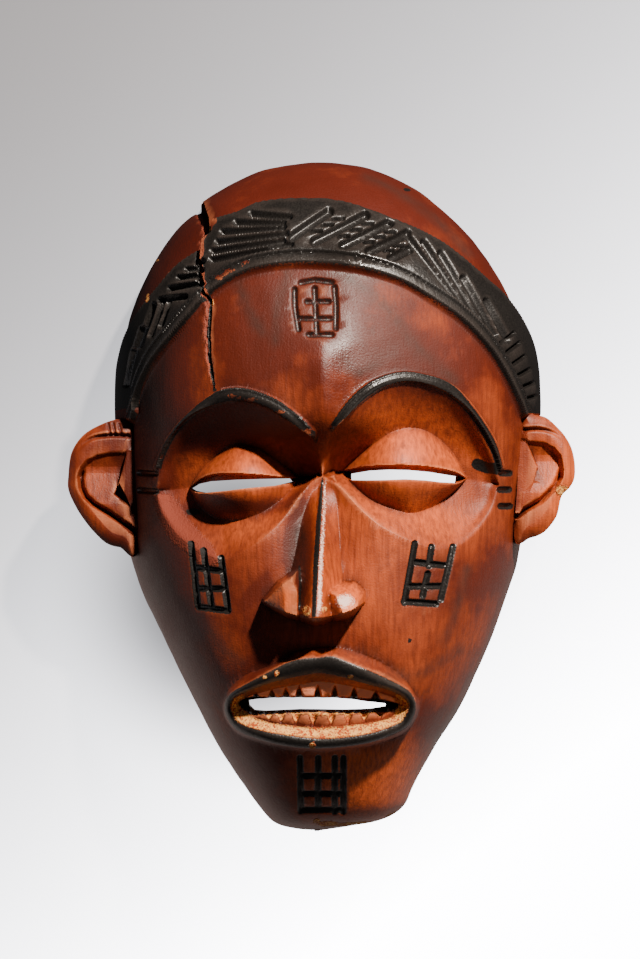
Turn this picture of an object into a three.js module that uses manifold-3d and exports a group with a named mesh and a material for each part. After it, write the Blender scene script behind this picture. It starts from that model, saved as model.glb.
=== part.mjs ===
// A pwo face mask, carved from one block of wood: cap, headband, face, ears, lips and teeth in one.
// It lies on its back rim. Millimetres: x to the viewer's right, y towards the crown, z out of the face.
import * as THREE from 'three';
import { mergeVertices } from 'three/addons/utils/BufferGeometryUtils.js';
import Module from 'manifold-3d';

const wasm = await Module();
wasm.setup();

// Driving sizes of the head
const MID_X = 0.8;             // the face's centre line
const SIDE_WALL = 22;          // upright part of the side, above the rim
const CROWN_Y = 22;            // where the profile is highest
const CROWN_Z = 102;
const CROWN_FALL = [2.5, 0.55];            // powers of the curve from there to the top
const BROAD_POWER = 3.6;       // squareness of a section across the mouth and chin
const ROUND_POWER = 2.3;       // and across the eyes and forehead
const BROADENS = { from: -15, over: 60 };  // where the section changes from one to the other
const TROUGH = { deep: 15, half: 16, y: 2, above: 14, below: 34 };     // the dip at the root of the nose
const MIDDLE = { x: MID_X, y: -4 };        // the outline is measured round this point
const RIM = 9;                 // thickness of the wall at the rim
const WALL = 12;               // and behind the face
const EYE_BUMP = 18;           // the hollow stays clear of the eye sockets by two soft bumps
const EYE_BUMP_AT = [[34, 3], [-28, 0]];
const EYE_BUMP_HALF = [32, 24];
const SLIT_FROM = 30;          // the slits are cut from inside the hollow
const ABOVE = 140;             // a height clear of the whole face

// The head's outline seen from the front, down the left side and up the right
const OUTLINE = [
  [-2, 125.2], [-36, 116.6], [-61.5, 91.5], [-76.5, 56], [-78.5, 24], [-75.5, -18], [-62.5, -60.5],
  [-37, -110], [-24.5, -129], [-14, -135.6], [0, -137.2], [16, -136.2], [31, -130.5], [52, -96],
  [76, -37], [81.5, 0], [84, 36], [71, 78.5], [45, 109], [15, 123.8],
];
// The profile below the crown, from the chin up
const PROFILE = [[-137.2, 46], [-131, 60], [-118, 71], [-85, 88.5], [-60, 94.5], [-30, 98], [22, 102]];

// Headband: its edges are planes that lean forward from the ears to the top of the forehead
const BAND_LEAN = 0.94;        // rise in y for each unit of z
const BAND_LOW = [
  [-98, -34], [-73, -29], [-60, -20], [-38, -7], [-19, -3.3],
  [0, -4], [31, -9], [54, -16], [78, -27], [98, -34],
];
// left of the crack the fragment has sunk, and the band's upper edge with it
const BAND_TOP_LEFT = [[-98, 14], [-73, 14], [-60, 17], [-41, 30]];
const BAND_TOP_RIGHT = [[-41, 39], [-12, 42], [15, 36], [39, 28], [60, 23], [98, 24]];
const BAND_PROUD = 3.2;
const BEAD_WIDTH = 6;          // plain bead along the band's lower edge
const BEAD_PROUD = 4.4;

// Eyes: every line is listed from the nose outwards
const CREASE_DEEP = 22;        // how far the socket's crease lies under the face
const CREASE_RUN = [0.75, 0.55];           // powers of its rise towards both corners
const UPPER_PLANE = 1.55;      // hollowness of the socket above the crease
const LOWER_PLANE = 1.4;       // and below it
const LID_PROUD = 14;          // how far the lids rise from that crease
const LID_ROUND = 1.6;
const EYES = {
  right: {
    crease: [[0.8, 1.5], [8.8, 2.8], [30, 2.5], [56, 0.2], [69.3, -2]],
    brow: [
      [0.8, 1.6], [2.6, 13], [9.5, 23.8], [23.6, 34.8], [35, 37.2],
      [48.4, 32.9], [60.9, 20.8], [67.8, 7], [69.3, -2],
    ],
    cheek: [[0.8, 1.4], [8.2, -3.4], [23, -17.6], [42, -26], [50, -26.3], [64.5, -16], [69.3, -2]],
    lidTop: [[8.8, 3.4], [19, 13], [32.5, 19.4], [45, 14.8], [56.6, 0.5]],
    slitTop: [[8.8, 3.4], [17.2, 5], [30.6, 5.6], [45, 4.5], [56.6, 0.5]],
    slitLow: [[8.8, 3.2], [13, -0.1], [30, -0.1], [50, -1.2], [56.6, 0.3]],
    lidLow: [[8.8, 3.1], [19.2, -7.5], [35.2, -12.8], [47, -8.6], [56.6, 0.2]],
  },
  left: {
    crease: [[0.8, 1.5], [-8.2, 0.2], [-30, 1.2], [-50, -3], [-63, -4.5]],
    brow: [
      [0.8, 1.6], [-1, 12], [-8, 20], [-23, 28.6], [-33, 29.8],
      [-47.5, 25.2], [-58, 13.8], [-62.3, 3], [-63, -4.5],
    ],
    cheek: [[0.8, 1.4], [-7.5, -6], [-22, -22.5], [-37, -30.4], [-51.5, -24], [-60.5, -14], [-63, -4.5]],
    lidTop: [[-8.2, 0.5], [-18, 8.4], [-31.5, 13.6], [-42, 7.4], [-50.4, -3.2]],
    slitTop: [[-8.2, 0.4], [-20, 1.7], [-38, 2.2], [-45, 0.6], [-50.4, -3.2]],
    slitLow: [[-8.2, 0.2], [-14, -2], [-32, -3.8], [-45, -5], [-50.4, -3.4]],
    lidLow: [[-8.2, 0.1], [-19.5, -11], [-34, -15.5], [-44, -12.6], [-50.4, -3.5]],
  },
};
const BROW_WIDTH = 4.2;
const BROW_TAPER = 0.55;       // its width at the temple, as a share
const BROW_PROUD = 1.6;

// Nose: a narrow ridge that climbs from its root to its tip, with two small wings
const ROOT = { x: 0.8, y: 1, z: 84 };
const TIP = { x: -1.6, y: -51.5, z: 118 };
const NOSE_FOOT = 66;
const RIDGE_HALF = [0.9, 1.6]; // half width of the ridge at the root, and what it gains to the tip
const RIDGE_ROUND = 1.3;
const FLANK_LEFT = [2.4, 8.6, 0.9];        // half width at the root, gain to the tip and its power
const FLANK_RIGHT = [4.5, 6.5, 1.1];
const TIP_ARC = 0.024;         // the lower edge is the arc of this much times x squared
const WINGS = [
  { x: -13.4, y: -46, rx: 6.4, ry: 10.5, z: 106 },
  { x: 10.4, y: -46.5, rx: 6.2, ry: 8.5, z: 106 },
];

// Mouth: five rings from the skin to the gape, clockwise from the left corner
const MOUTH = { x: 0, y: -86.5 };
const BEVEL = [
  [-37.5, -86.5], [-28.6, -75], [-13.3, -68.5], [1, -63.8], [15, -66],
  [30, -73.9], [38.3, -86.5], [31, -98.5], [0, -104.3], [-31.6, -98],
];
const LIP = [
  [-36.6, -86.5], [-26.7, -77], [-13.3, -69.8], [1.5, -66.8], [14, -70.5],
  [28.6, -77.2], [36.8, -86.5], [31.4, -96], [0, -102.9], [-31.4, -96.5],
];
const INNER = [
  [-34, -86.5], [-25.2, -79.9], [-11.4, -75.6], [0, -73.7], [12.2, -76.4],
  [27.5, -80.8], [33.8, -86.5], [30, -93], [0, -98.9], [-30.5, -93.4],
];
const GUM = [
  [-30.5, -86.5], [-22, -81.5], [-10, -78.8], [0, -77], [10, -78.8],
  [22.9, -81.5], [31.2, -86.5], [27.5, -91.5], [0, -95.6], [-26.7, -90.9],
];
const GAPE = [
  [-29, -86.5], [-25, -83.6], [-7.6, -82.9], [7.6, -83.1], [26, -85.4],
  [28.2, -86.7], [25.2, -88.5], [0, -89], [-26.4, -89.4],
];
const LIP_PROUD = 8.5;
const LIP_ROOT = 52;           // the lips' body starts inside the wall, at this height
const GUM_PROUD = 1.5;
const UPPER_TEETH = { gum: -78.6, edge: -82.8, taper: 0.8 };           // blunt
const LOWER_TEETH = { gum: -94.6, edge: -89.4, taper: 0.1 };           // pointed
const TOOTH_WIDTH = 0.86;      // share of the room between two cuts
const TOOTH_PROUD = 1.6;
const TOOTH_TALL = 9;
const UPPER_GAPS = [-24, -18, -13, -8, -0.8, 5.6, 13, 21, 27];         // x of the cuts between the teeth
const LOWER_GAPS = [-25, -19.5, -15, -9.2, -2.8, 4.2, 10.7, 17, 23, 28];

// Ears: outlines listed from the top of the root round to its foot
const EARS = [
  [[-71, 24], [-80.2, 23.3], [-91.5, 18], [-97.3, 9], [-98.1, -4], [-89.1, -18.6], [-79, -26], [-71, -26.2]],
  [[78, 25.6], [84, 25.2], [92.5, 20.4], [98.6, 12], [99.3, 1], [93, -13.5], [86, -21.4], [76, -23.5]],
];
// from the back to the front: share of the outline, and height
const EAR_RINGS = [[0.6, 16], [1, 32], [0.97, 45], [0.82, 44.5], [0.7, 39.5], [0.52, 43], [0.2, 44]];
const EAR_ROOT = { x: 85, over: 16, drop: 6 };         // the back ring sinks towards the head

// Marks cut in the skin: [x, y] to [x, y] strokes
const STROKE = { width: 2.2, depth: 1.6 };
const BAND_CUT = { width: 1.8, depth: 1.2 };
const MARKS = [
  // forehead
  [[-9.9, 72.6], [-8.2, 55]], [[-7, 75.5], [5, 75.5]], [[5.4, 73], [6, 57]], [[-2, 73], [-1.2, 55.6]],
  [[-5, 67.8], [4, 67.8]], [[-8, 61.2], [4.6, 61.2]], [[-5, 55], [5, 55]],
  // left cheek
  [[-49.5, -25.2], [-47.6, -47.4]], [[-44.6, -27.4], [-41.6, -48.8]], [[-37.6, -30.6], [-35.2, -50]],
  [[-48.4, -34.6], [-36.8, -34.8]], [[-47.8, -42], [-36, -42]], [[-46.6, -49.2], [-35.2, -50]],
  // right cheek
  [[36.2, -24.4], [32.2, -47.4]], [[42.6, -26], [39.2, -44.6]], [[51, -26.4], [46, -46.4]],
  [[36.6, -32.2], [48, -32.8]], [[33.6, -41], [46.4, -41.4]], [[32, -47], [44.4, -47]],
  // chin
  [[-7.6, -107], [-7.6, -129]], [[-0.6, -107], [-0.6, -128]], [[5.8, -107], [5.8, -129]],
  [[8.8, -107], [8.8, -129]],
  [[-7.6, -114], [8.8, -114]], [[-7.6, -121.4], [8.8, -121.4]], [[-7.6, -128.6], [8.8, -128.6]],
  // temples
  [[69.4, 2.6], [74.4, 2.6]], [[69.4, -4], [74.4, -4]], [[69.4, -10.4], [74.4, -10.4]],
  [[-70.6, 2.4], [-63.4, 2.4]], [[-70.6, -4.4], [-63.4, -4.4]],
];

// The crack through the cap and band, down the forehead
const CRACK = [
  [-49, 114], [-46, 107], [-43.5, 97], [-45, 83], [-43, 74], [-42, 68], [-42.8, 55], [-41.4, 41], [-40, 33],
];
const CRACK_WIDTH = [2, 0.8];  // at the cap and at the brow
const CRACK_DEPTH = [30, 3];
const FRAGMENT_DROP = [0.6, -3.4, -0.6];
const FRAGMENT_EDGE = [[-58, 62], [-100, 50], [-100, 130], [-52, 130]];

const WOOD = new THREE.MeshStandardMaterial({ color: 0x96371a, roughness: 0.45, metalness: 0 });

const spread = (n, from = 0, to = 1) => Array.from({ length: n + 1 }, (_, i) => from + ((to - from) * i) / n);
const mix = (a, b, t) => a + (b - a) * t;
const smooth = (t) => THREE.MathUtils.smoothstep(t, 0, 1);
const bell = (d, width) => Math.exp(-((d / width) ** 2));
const arch = (t, power) => Math.sin(Math.PI * Math.min(1, Math.max(0, t))) ** power;

// y as a function of x along a smooth line through the points
function lineThrough(points, steps = 60) {
  const curve = new THREE.SplineCurve(points.map(([x, y]) => new THREE.Vector2(x, y)));
  const line = curve.getPoints(steps).sort((a, b) => a.x - b.x);
  return (x) => valueAt(line, x, 'x', 'y');
}

// linear reading of a sampled line, held at both ends
function valueAt(line, at, from, to) {
  const last = line.length - 1;
  if (at <= line[0][from]) return line[0][to];
  if (at >= line[last][from]) return line[last][to];
  const i = line.findIndex((p) => p[from] >= at);
  const [a, b] = [line[i - 1], line[i]];
  return a[to] + ((b[to] - a[to]) * (at - a[from])) / (b[from] - a[from] || 1);
}

function closedCurve(points, steps) {
  const corners = points.map(([x, y]) => new THREE.Vector3(x, y, 0));
  return new THREE.CatmullRomCurve3(corners, true, 'catmullrom', 0.5).getPoints(steps).slice(0, -1);
}

// radius of a closed curve as a function of the angle seen from its centre
function radiusOf(points, centre, steps = 240) {
  const polar = closedCurve(points, steps).map((p) => ({
    angle: Math.atan2(p.y - centre.y, p.x - centre.x),
    radius: Math.hypot(p.x - centre.x, p.y - centre.y),
  })).sort((a, b) => a.angle - b.angle);
  const turn = 2 * Math.PI;
  const [first, last] = [polar[0], polar[polar.length - 1]];
  polar.unshift({ angle: last.angle - turn, radius: last.radius });
  polar.push({ angle: first.angle + turn, radius: first.radius });
  return (angle) => valueAt(polar, angle, 'angle', 'radius');
}

const outline = closedCurve(OUTLINE, 400);
const top = Math.max(...outline.map((p) => p.y));
const sideLine = (right) => outline.filter((p) => (p.x >= MID_X) === right).sort((a, b) => a.y - b.y);
const rightSide = sideLine(true);
const leftSide = sideLine(false);
const profile = lineThrough(PROFILE);

function halfWidth(x, y) {
  return Math.abs(valueAt(x < MID_X ? leftSide : rightSide, y, 'y', 'x') - MID_X);
}

// The head's surface before the features are carved
function dome(x, y) {
  const rise = Math.min(1, Math.max(0, (y - CROWN_Y) / (top - CROWN_Y)));
  const arched = SIDE_WALL + (CROWN_Z - SIDE_WALL) * (1 - rise ** CROWN_FALL[0]) ** CROWN_FALL[1];
  const crest = y > CROWN_Y ? arched : profile(y);
  const across = Math.min(1, Math.abs(x - MID_X) / Math.max(halfWidth(x, y), 0.01));
  const power = mix(ROUND_POWER, BROAD_POWER, smooth((BROADENS.from - y) / BROADENS.over));
  const skinZ = SIDE_WALL + (crest - SIDE_WALL) * (1 - across ** power) ** 0.5;
  const length = y > TROUGH.y ? TROUGH.above : TROUGH.below;
  return skinZ - TROUGH.deep * bell(x - MID_X, TROUGH.half) * bell(y - TROUGH.y, length);
}

// The hollow: the head's surface drawn in by the rim and lowered by the wall
const headRadius = radiusOf(OUTLINE, MIDDLE, 400);
function hollow(x, y) {
  const reach = headRadius(Math.atan2(y - MIDDLE.y, x - MIDDLE.x));
  const wider = reach / (reach - RIM);
  const outside = dome(MIDDLE.x + (x - MIDDLE.x) * wider, MIDDLE.y + (y - MIDDLE.y) * wider);
  const [halfX, halfY] = EYE_BUMP_HALF;
  const bumps = EYE_BUMP_AT.reduce((sum, [bx, by]) => sum + bell(x - bx, halfX) * bell(y - by, halfY), 0);
  return outside - WALL - EYE_BUMP * Math.min(bumps, 1.1);
}

// A closed solid from rings of equally many points, joined in order and capped at both ends
function skin(rings) {
  const size = rings[0].length;
  const positions = rings.flat(2);
  const index = [];
  for (let r = 0; r + 1 < rings.length; r++) {
    for (let i = 0; i < size; i++) {
      const j = (i + 1) % size;
      const [a, b, c, d] = [r * size + i, r * size + j, (r + 1) * size + j, (r + 1) * size + i];
      index.push(a, b, c, a, c, d);
    }
  }
  const caps = [[rings[0], 0, true], [rings.at(-1), (rings.length - 1) * size, false]];
  for (const [ring, start, flip] of caps) {
    const centre = positions.length / 3;
    for (const k of [0, 1, 2]) positions.push(ring.reduce((sum, p) => sum + p[k], 0) / size);
    for (let i = 0; i < size; i++) {
      const [a, b] = [start + i, start + ((i + 1) % size)];
      index.push(centre, flip ? b : a, flip ? a : b);
    }
  }
  return solidOf(positions, index);
}

// merged vertices, no empty triangles, faces turned outwards
function solidOf(positions, index) {
  let geometry = new THREE.BufferGeometry();
  geometry.setAttribute('position', new THREE.Float32BufferAttribute(positions, 3));
  geometry.setIndex(index);
  geometry = mergeVertices(geometry, 1e-3);
  const vertices = geometry.attributes.position.array;
  const kept = [];
  const faces = geometry.index.array;
  for (let f = 0; f < faces.length; f += 3) {
    const [a, b, c] = faces.slice(f, f + 3);
    if (a !== b && b !== c && c !== a) kept.push(a, b, c);
  }
  const corner = (v) => new THREE.Vector3().fromArray(vertices, 3 * v);
  let volume = 0;
  for (let f = 0; f < kept.length; f += 3) {
    volume += corner(kept[f]).dot(corner(kept[f + 1]).cross(corner(kept[f + 2])));
  }
  if (volume < 0) kept.reverse();
  const mesh = { numProp: 3, vertProperties: new Float32Array(vertices), triVerts: new Uint32Array(kept) };
  return new wasm.Manifold(new wasm.Mesh(mesh));
}

// The head or its hollow: rings of the outline that shrink towards the middle and rise with the surface
function vault(sides, scales, inset, surface, foot, grow = 0) {
  const ring = (scale, level) => spread(sides, -Math.PI, Math.PI).slice(0, -1).map((angle) => {
    const reach = (headRadius(angle) - inset) * scale;
    const out = reach + grow * scale;
    const [x, y] = [MIDDLE.x + reach * Math.cos(angle), MIDDLE.y + reach * Math.sin(angle)];
    const [dx, dy] = [Math.cos(angle), Math.sin(angle)];
    return [MIDDLE.x + out * dx, MIDDLE.y + out * dy, level ?? surface(x, y) + grow];
  });
  return skin([ring(1, foot), ...scales.map((scale) => ring(scale)), ring(0.001)]);
}

// One eye's lines, and the socket's surface between them
function eyeLines(eye) {
  const line = Object.fromEntries(Object.entries(eye).map(([name, points]) => [name, lineThrough(points)]));
  const [inner, outer] = [eye.crease[0][0], eye.crease.at(-1)[0]];
  const deep = (x) => {
    const along = Math.min(1, Math.max(0, (x - inner) / (outer - inner)));
    return dome(x, line.crease(x)) - CREASE_DEEP * arch(along ** CREASE_RUN[0], CREASE_RUN[1]);
  };
  const socket = (x, y) => {
    const crease = line.crease(x);
    const edge = y > crease ? line.brow(x) : line.cheek(x);
    const t = Math.min(1, Math.abs(y - crease) / Math.max(Math.abs(edge - crease), 0.01));
    return mix(deep(x), dome(x, edge), t ** (y > crease ? UPPER_PLANE : LOWER_PLANE));
  };
  return { line, inner, outer, deep, socket };
}

// The socket's cutter: a skin over the crease with its top clear of the face
function socketCutter(eye) {
  const { line, inner, outer, socket } = eyeLines(eye);
  return skin(spread(12).map((s) => {
    const x = mix(inner, outer, (1 - Math.cos(Math.PI * s)) / 2);
    const floor = spread(6, -1, 1).map((t) => {
      const y = mix(line.crease(x), t > 0 ? line.brow(x) : line.cheek(x), Math.abs(t));
      return [x, y, s === 0 || s === 1 ? dome(x, line.crease(x)) : socket(x, y)];
    });
    return [...floor, ...floor.slice().reverse().map(([px, py]) => [px, py, ABOVE])];
  }));
}

// The lids: a low roof whose ridge is the slit
function lids(eye) {
  const { line, deep, socket } = eyeLines(eye);
  const [inner, outer] = [eye.lidTop[0][0], eye.lidTop.at(-1)[0]];
  return skin(spread(10).map((s) => {
    const x = mix(inner, outer, (1 - Math.cos(Math.PI * s)) / 2);
    const [above, high, low, below] = [line.lidTop(x), line.slitTop(x), line.slitLow(x), line.lidLow(x)];
    const peak = deep(x) + LID_PROUD * arch((x - inner) / (outer - inner), 0.6);
    const rise = (from, t) => mix(socket(x, from) - 0.4, peak, 1 - (1 - t) ** LID_ROUND);
    const slope = (from, to, t) => [x, mix(from, to, t), rise(from, t)];
    const roof = [slope(below, low, 0), slope(below, low, 0.5), slope(below, low, 1),
      slope(above, high, 1), slope(above, high, 0.5), slope(above, high, 0)];
    return [...roof, [x, above, deep(x) - 4], [x, below, deep(x) - 4]];
  }));
}

// A straight cut along z with the given outline
function cutThrough(points, from, to) {
  return skin([from, to].map((z) => points.map(([x, y]) => [x, y, z])));
}

function slit(eye) {
  const { line } = eyeLines(eye);
  const xs = spread(8, eye.slitTop[0][0], eye.slitTop.at(-1)[0]);
  const upper = xs.map((x) => [x, line.slitTop(x)]);
  const lower = xs.slice(1, -1).reverse().map((x) => [x, line.slitLow(x)]);
  return cutThrough([...upper, ...lower], SLIT_FROM, ABOVE);
}

// The brow: a raised black band along the socket's upper edge, wider near the nose
function brow(eye) {
  const { line } = eyeLines(eye);
  const [inner, outer] = [eye.brow[2][0], eye.brow.at(-2)[0]];
  const side = Math.sign(outer - inner);
  return skin(spread(11).map((s) => {
    const x = mix(inner - 3 * side, outer, s);
    const y = line.brow(x);
    const run = new THREE.Vector2(0.4, line.brow(x + 0.2) - line.brow(x - 0.2)).normalize();
    const width = mix(BROW_WIDTH, BROW_WIDTH * BROW_TAPER, s) * (s === 0 ? 0.3 : 1);
    const place = (across, up) => {
      const [px, py] = [x - run.y * across, y + run.x * across];
      return [px, py, dome(px, py) + up];
    };
    return [
      place(-0.2, -5), place(-0.2, BROW_PROUD / 2),
      place(width * 0.6, BROW_PROUD),
      place(width, -0.2), place(width, -5),
    ];
  }));
}

// The nose's ridge with its two flanks, ending in an arc at the tip
function nose() {
  return skin(spread(10).map((t) => {
    const [x, z] = [mix(ROOT.x, TIP.x, t), mix(ROOT.z, TIP.z, t ** 0.95)];
    const ridge = RIDGE_HALF[0] + RIDGE_HALF[1] * t;
    const [left, right] = [FLANK_LEFT, FLANK_RIGHT].map(([start, gain, power]) => start + gain * t ** power);
    const at = (dx, level) => {
      const y = mix(ROOT.y, TIP.y - 0.7, t) + t * TIP_ARC * dx * dx;
      return [x + dx, y, level ?? dome(x + dx, y) - 1];
    };
    const edge = z - RIDGE_ROUND;
    return [
      at(-left, NOSE_FOOT), at(-left), at(-ridge, edge),
      at(0, z),
      at(ridge, edge), at(right), at(right, NOSE_FOOT),
    ];
  }));
}

// A wing of the nose: a rounded boss, cut off below by the arc of the tip
function wing({ x, y, rx, ry, z }) {
  const rings = [[1, 70], [1, z - 9], [0.8, z - 3], [0.35, z]].map(([scale, level]) =>
    spread(8, 0, 2 * Math.PI).slice(0, -1).map((angle) => {
      const [px, py] = [x + rx * scale * Math.cos(angle), y + ry * scale * Math.sin(angle)];
      return [px, Math.max(py, TIP.y - 0.5 + TIP_ARC * (px - TIP.x) ** 2), level];
    }));
  return skin(rings);
}

// Rings of the mouth, read at the same angles so that they can be joined
function mouthRing(points, lift, level) {
  const radius = radiusOf(points, MOUTH);
  return spread(28, -Math.PI, Math.PI).slice(0, -1).map((angle) => {
    const [x, y] = [MOUTH.x + radius(angle) * Math.cos(angle), MOUTH.y + radius(angle) * Math.sin(angle)];
    return [x, y, level ?? dome(x, y) + lift];
  });
}

function lips() {
  return skin([
    mouthRing(BEVEL, 0, LIP_ROOT), mouthRing(BEVEL, -0.4),
    mouthRing(LIP, LIP_PROUD), mouthRing(INNER, LIP_PROUD - 0.6),
  ]);
}

function mouthCutter() {
  return skin([
    mouthRing(INNER, 0, ABOVE), mouthRing(INNER, LIP_PROUD - 0.8),
    mouthRing(GUM, GUM_PROUD), mouthRing(GAPE, -1),
  ]);
}

// A row of teeth between the cuts, shorter towards the corners and following the bow of the gum
function teeth(gaps, { gum, edge, taper }) {
  const gumBow = 0.006;
  const rowHalf = 33;
  return gaps.slice(0, -1).map((left, i) => {
    const right = gaps[i + 1];
    const middle = (left + right) / 2;
    const bow = gumBow * middle ** 2 * Math.sign(edge - gum);
    const reach = Math.max(0.45, 1 - (Math.abs(middle) / rowHalf) ** 3);
    const end = mix(gum, edge, reach) + bow * 0.2;
    const root = gum + bow;
    const half = ((right - left) / 2) * TOOTH_WIDTH;
    const tip = half * taper;
    const corners = [[middle - half, root], [middle + half, root], [middle + tip, end], [middle - tip, end]];
    const high = dome(middle, MOUTH.y) + GUM_PROUD + TOOTH_PROUD;
    return cutThrough(corners, high - TOOTH_TALL, high);
  });
}

// An ear: a slab with a raised rim, a groove inside it and a rounded bowl
function ear(points) {
  const centre = { x: points.reduce((sum, p) => sum + p[0], 0) / points.length, y: 0 };
  const radius = radiusOf(points, centre);
  const outwards = Math.sign(centre.x);
  return skin(EAR_RINGS.map(([scale, level], i) => spread(16, -Math.PI, Math.PI).slice(0, -1).map((angle) => {
    const x = centre.x + radius(angle) * scale * Math.cos(angle);
    const y = centre.y + radius(angle) * scale * Math.sin(angle);
    const towardsHead = Math.max(0, (EAR_ROOT.x - x * outwards) / EAR_ROOT.over);
    return [x, y, level - (i === 0 ? EAR_ROOT.drop * towardsHead : 0)];
  })));
}

// A groove of triangular section along a line that lies on the surface
function groove([[ax, ay], [bx, by]], surface, { width, depth }) {
  const run = new THREE.Vector2(bx - ax, by - ay);
  const longestStep = 16;
  const steps = Math.max(1, Math.round(run.length() / longestStep));
  run.normalize();
  return skin(spread(steps).map((t) => {
    const [x, y] = [mix(ax, bx, t), mix(ay, by, t)];
    const side = (d) => [x - run.y * d, y + run.x * d];
    const low = surface(x, y) - depth;
    const rise = depth + 2;
    const over = (width * rise) / depth / 2;
    return [[...side(over), low + rise], [x, y, low], [...side(-over), low + rise]];
  }));
}

// The band's prism: its outline in x and y at z = 0, swept along the leaning direction
const bandLow = lineThrough(BAND_LOW);
const bandTopLeft = lineThrough(BAND_TOP_LEFT);
const bandTopRight = lineThrough(BAND_TOP_RIGHT);
const bandTop = (x) => (x < BAND_TOP_RIGHT[0][0] ? bandTopLeft(x) : bandTopRight(x));
function bandPrism(upper) {
  const [start, split, end] = [BAND_LOW[0][0], BAND_TOP_RIGHT[0][0], BAND_LOW.at(-1)[0]];
  const xs = [...spread(5, start, split - 0.5), ...spread(9, split + 0.5, end)];
  const edge = [...xs.map((x) => [x, bandLow(x)]), ...xs.slice().reverse().map((x) => [x, upper(x)])];
  return skin([-5, ABOVE].map((z) => edge.map(([x, y]) => [x, y + BAND_LEAN * z, z])));
}

// A point on the band, given x and its place across the band from 0 at the bead to 1 at the cap
function onBand(x, across) {
  const level = mix(bandLow(x) + BEAD_WIDTH, bandTop(x), across);
  let z = 60;
  for (let i = 0; i < 40; i++) {
    const y = level + BAND_LEAN * z;
    z = mix(z, y < top ? dome(x, y) + BAND_PROUD : 0, 0.3);
  }
  return [x, level + BAND_LEAN * z];
}

// Cuts that fill the band: along it on the left, slanting bars in the middle, steep bars on the right
function hatching() {
  const cuts = [];
  for (const x of spread(4, -68, -49)) cuts.push([onBand(x, 0.1), onBand(x + 9, 0.88)]);
  for (const x of spread(3, -37, -20)) cuts.push([onBand(x, 0.9), onBand(x + 13, 0.16)]);
  for (const x of spread(5, -8, 22)) cuts.push([onBand(x - 5, 0.1), onBand(x + 6, 0.88)]);
  for (const x of spread(5, 40, 63)) cuts.push([onBand(x + 7, 0.06), onBand(x - 5, 0.88)]);
  for (const x of spread(2, 71, 77)) cuts.push([onBand(x, 0.1), onBand(x + 1, 0.7)]);
  return cuts;
}

// The fragment left of the crack has sunk: what stands above the lowered head is taken off there
function sunkFragment(surface) {
  const [dx, dy, dz] = FRAGMENT_DROP;
  const region = [...CRACK.slice(0, 5), ...FRAGMENT_EDGE];
  return cutThrough(region, 20, ABOVE).subtract(surface.translate(dx, dy, dz));
}

// The crack: a narrow wedge, right through the wall at the cap and shallow on the forehead
function crack() {
  return skin(CRACK.map(([x, y], i) => {
    const t = i / (CRACK.length - 1);
    const [width, depth] = [CRACK_WIDTH, CRACK_DEPTH].map(([start, end]) => mix(start, end, t));
    const low = dome(x, y) - depth;
    const [wide, narrow] = [width / 2, width / 3];
    return [[x - wide, y, ABOVE], [x - narrow, y, low], [x + narrow, y, low], [x + wide, y, ABOVE]];
  }));
}

const SCALES = [1, 0.985, 0.945, 0.885, 0.81, 0.72, 0.6];
const AROUND = 46;
const head = vault(AROUND, [...SCALES, 0.4, 0.22], 0, dome, 0);
const band = vault(AROUND, SCALES, 0, dome, 0, BAND_PROUD).intersect(bandPrism(bandTop));
const beadTop = (x) => bandLow(x) + BEAD_WIDTH;
const bead = vault(AROUND, SCALES, 0, dome, 0, BEAD_PROUD).intersect(bandPrism(beadTop));
const cavity = vault(34, [1, 0.96, 0.87, 0.73, 0.55, 0.3], RIM, hollow, -2);

let mask = head.add(band).add(bead);
mask = mask.subtract(sunkFragment(mask));
for (const eye of Object.values(EYES)) mask = mask.add(brow(eye)).subtract(socketCutter(eye)).add(lids(eye));
mask = mask.add(nose());
for (const boss of WINGS) mask = mask.add(wing(boss));
mask = mask.add(lips()).subtract(mouthCutter());
for (const tooth of teeth(UPPER_GAPS, UPPER_TEETH)) mask = mask.add(tooth);
for (const tooth of teeth(LOWER_GAPS, LOWER_TEETH)) mask = mask.add(tooth);
for (const points of EARS) mask = mask.add(ear(points));
for (const stroke of MARKS) mask = mask.subtract(groove(stroke, dome, STROKE));
const bandSkin = (x, y) => dome(x, y) + BAND_PROUD;
for (const cut of hatching()) mask = mask.subtract(groove(cut, bandSkin, BAND_CUT));
mask = mask.subtract(crack()).subtract(cavity);
for (const eye of Object.values(EYES)) mask = mask.subtract(slit(eye));
mask = mask.subtract(cutThrough(GAPE, SLIT_FROM, ABOVE));

// crumbs left between crossing cuts fall away
mask = mask.decompose().sort((a, b) => b.volume() - a.volume())[0];

function meshOf(solid, name, material) {
  const { vertProperties, triVerts } = solid.getMesh();
  const geometry = new THREE.BufferGeometry();
  geometry.setAttribute('position', new THREE.Float32BufferAttribute(vertProperties, 3));
  geometry.setIndex(Array.from(triVerts));
  geometry.computeVertexNormals();
  geometry.computeBoundingBox();
  const middle = geometry.boundingBox.getCenter(new THREE.Vector3());
  const mesh = new THREE.Mesh(geometry, material);
  mesh.name = name;
  mesh.position.set(-middle.x, -middle.y, 0);
  return mesh;
}

const group = new THREE.Group();
group.add(meshOf(mask, 'mask', WOOD));
export default group;
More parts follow.
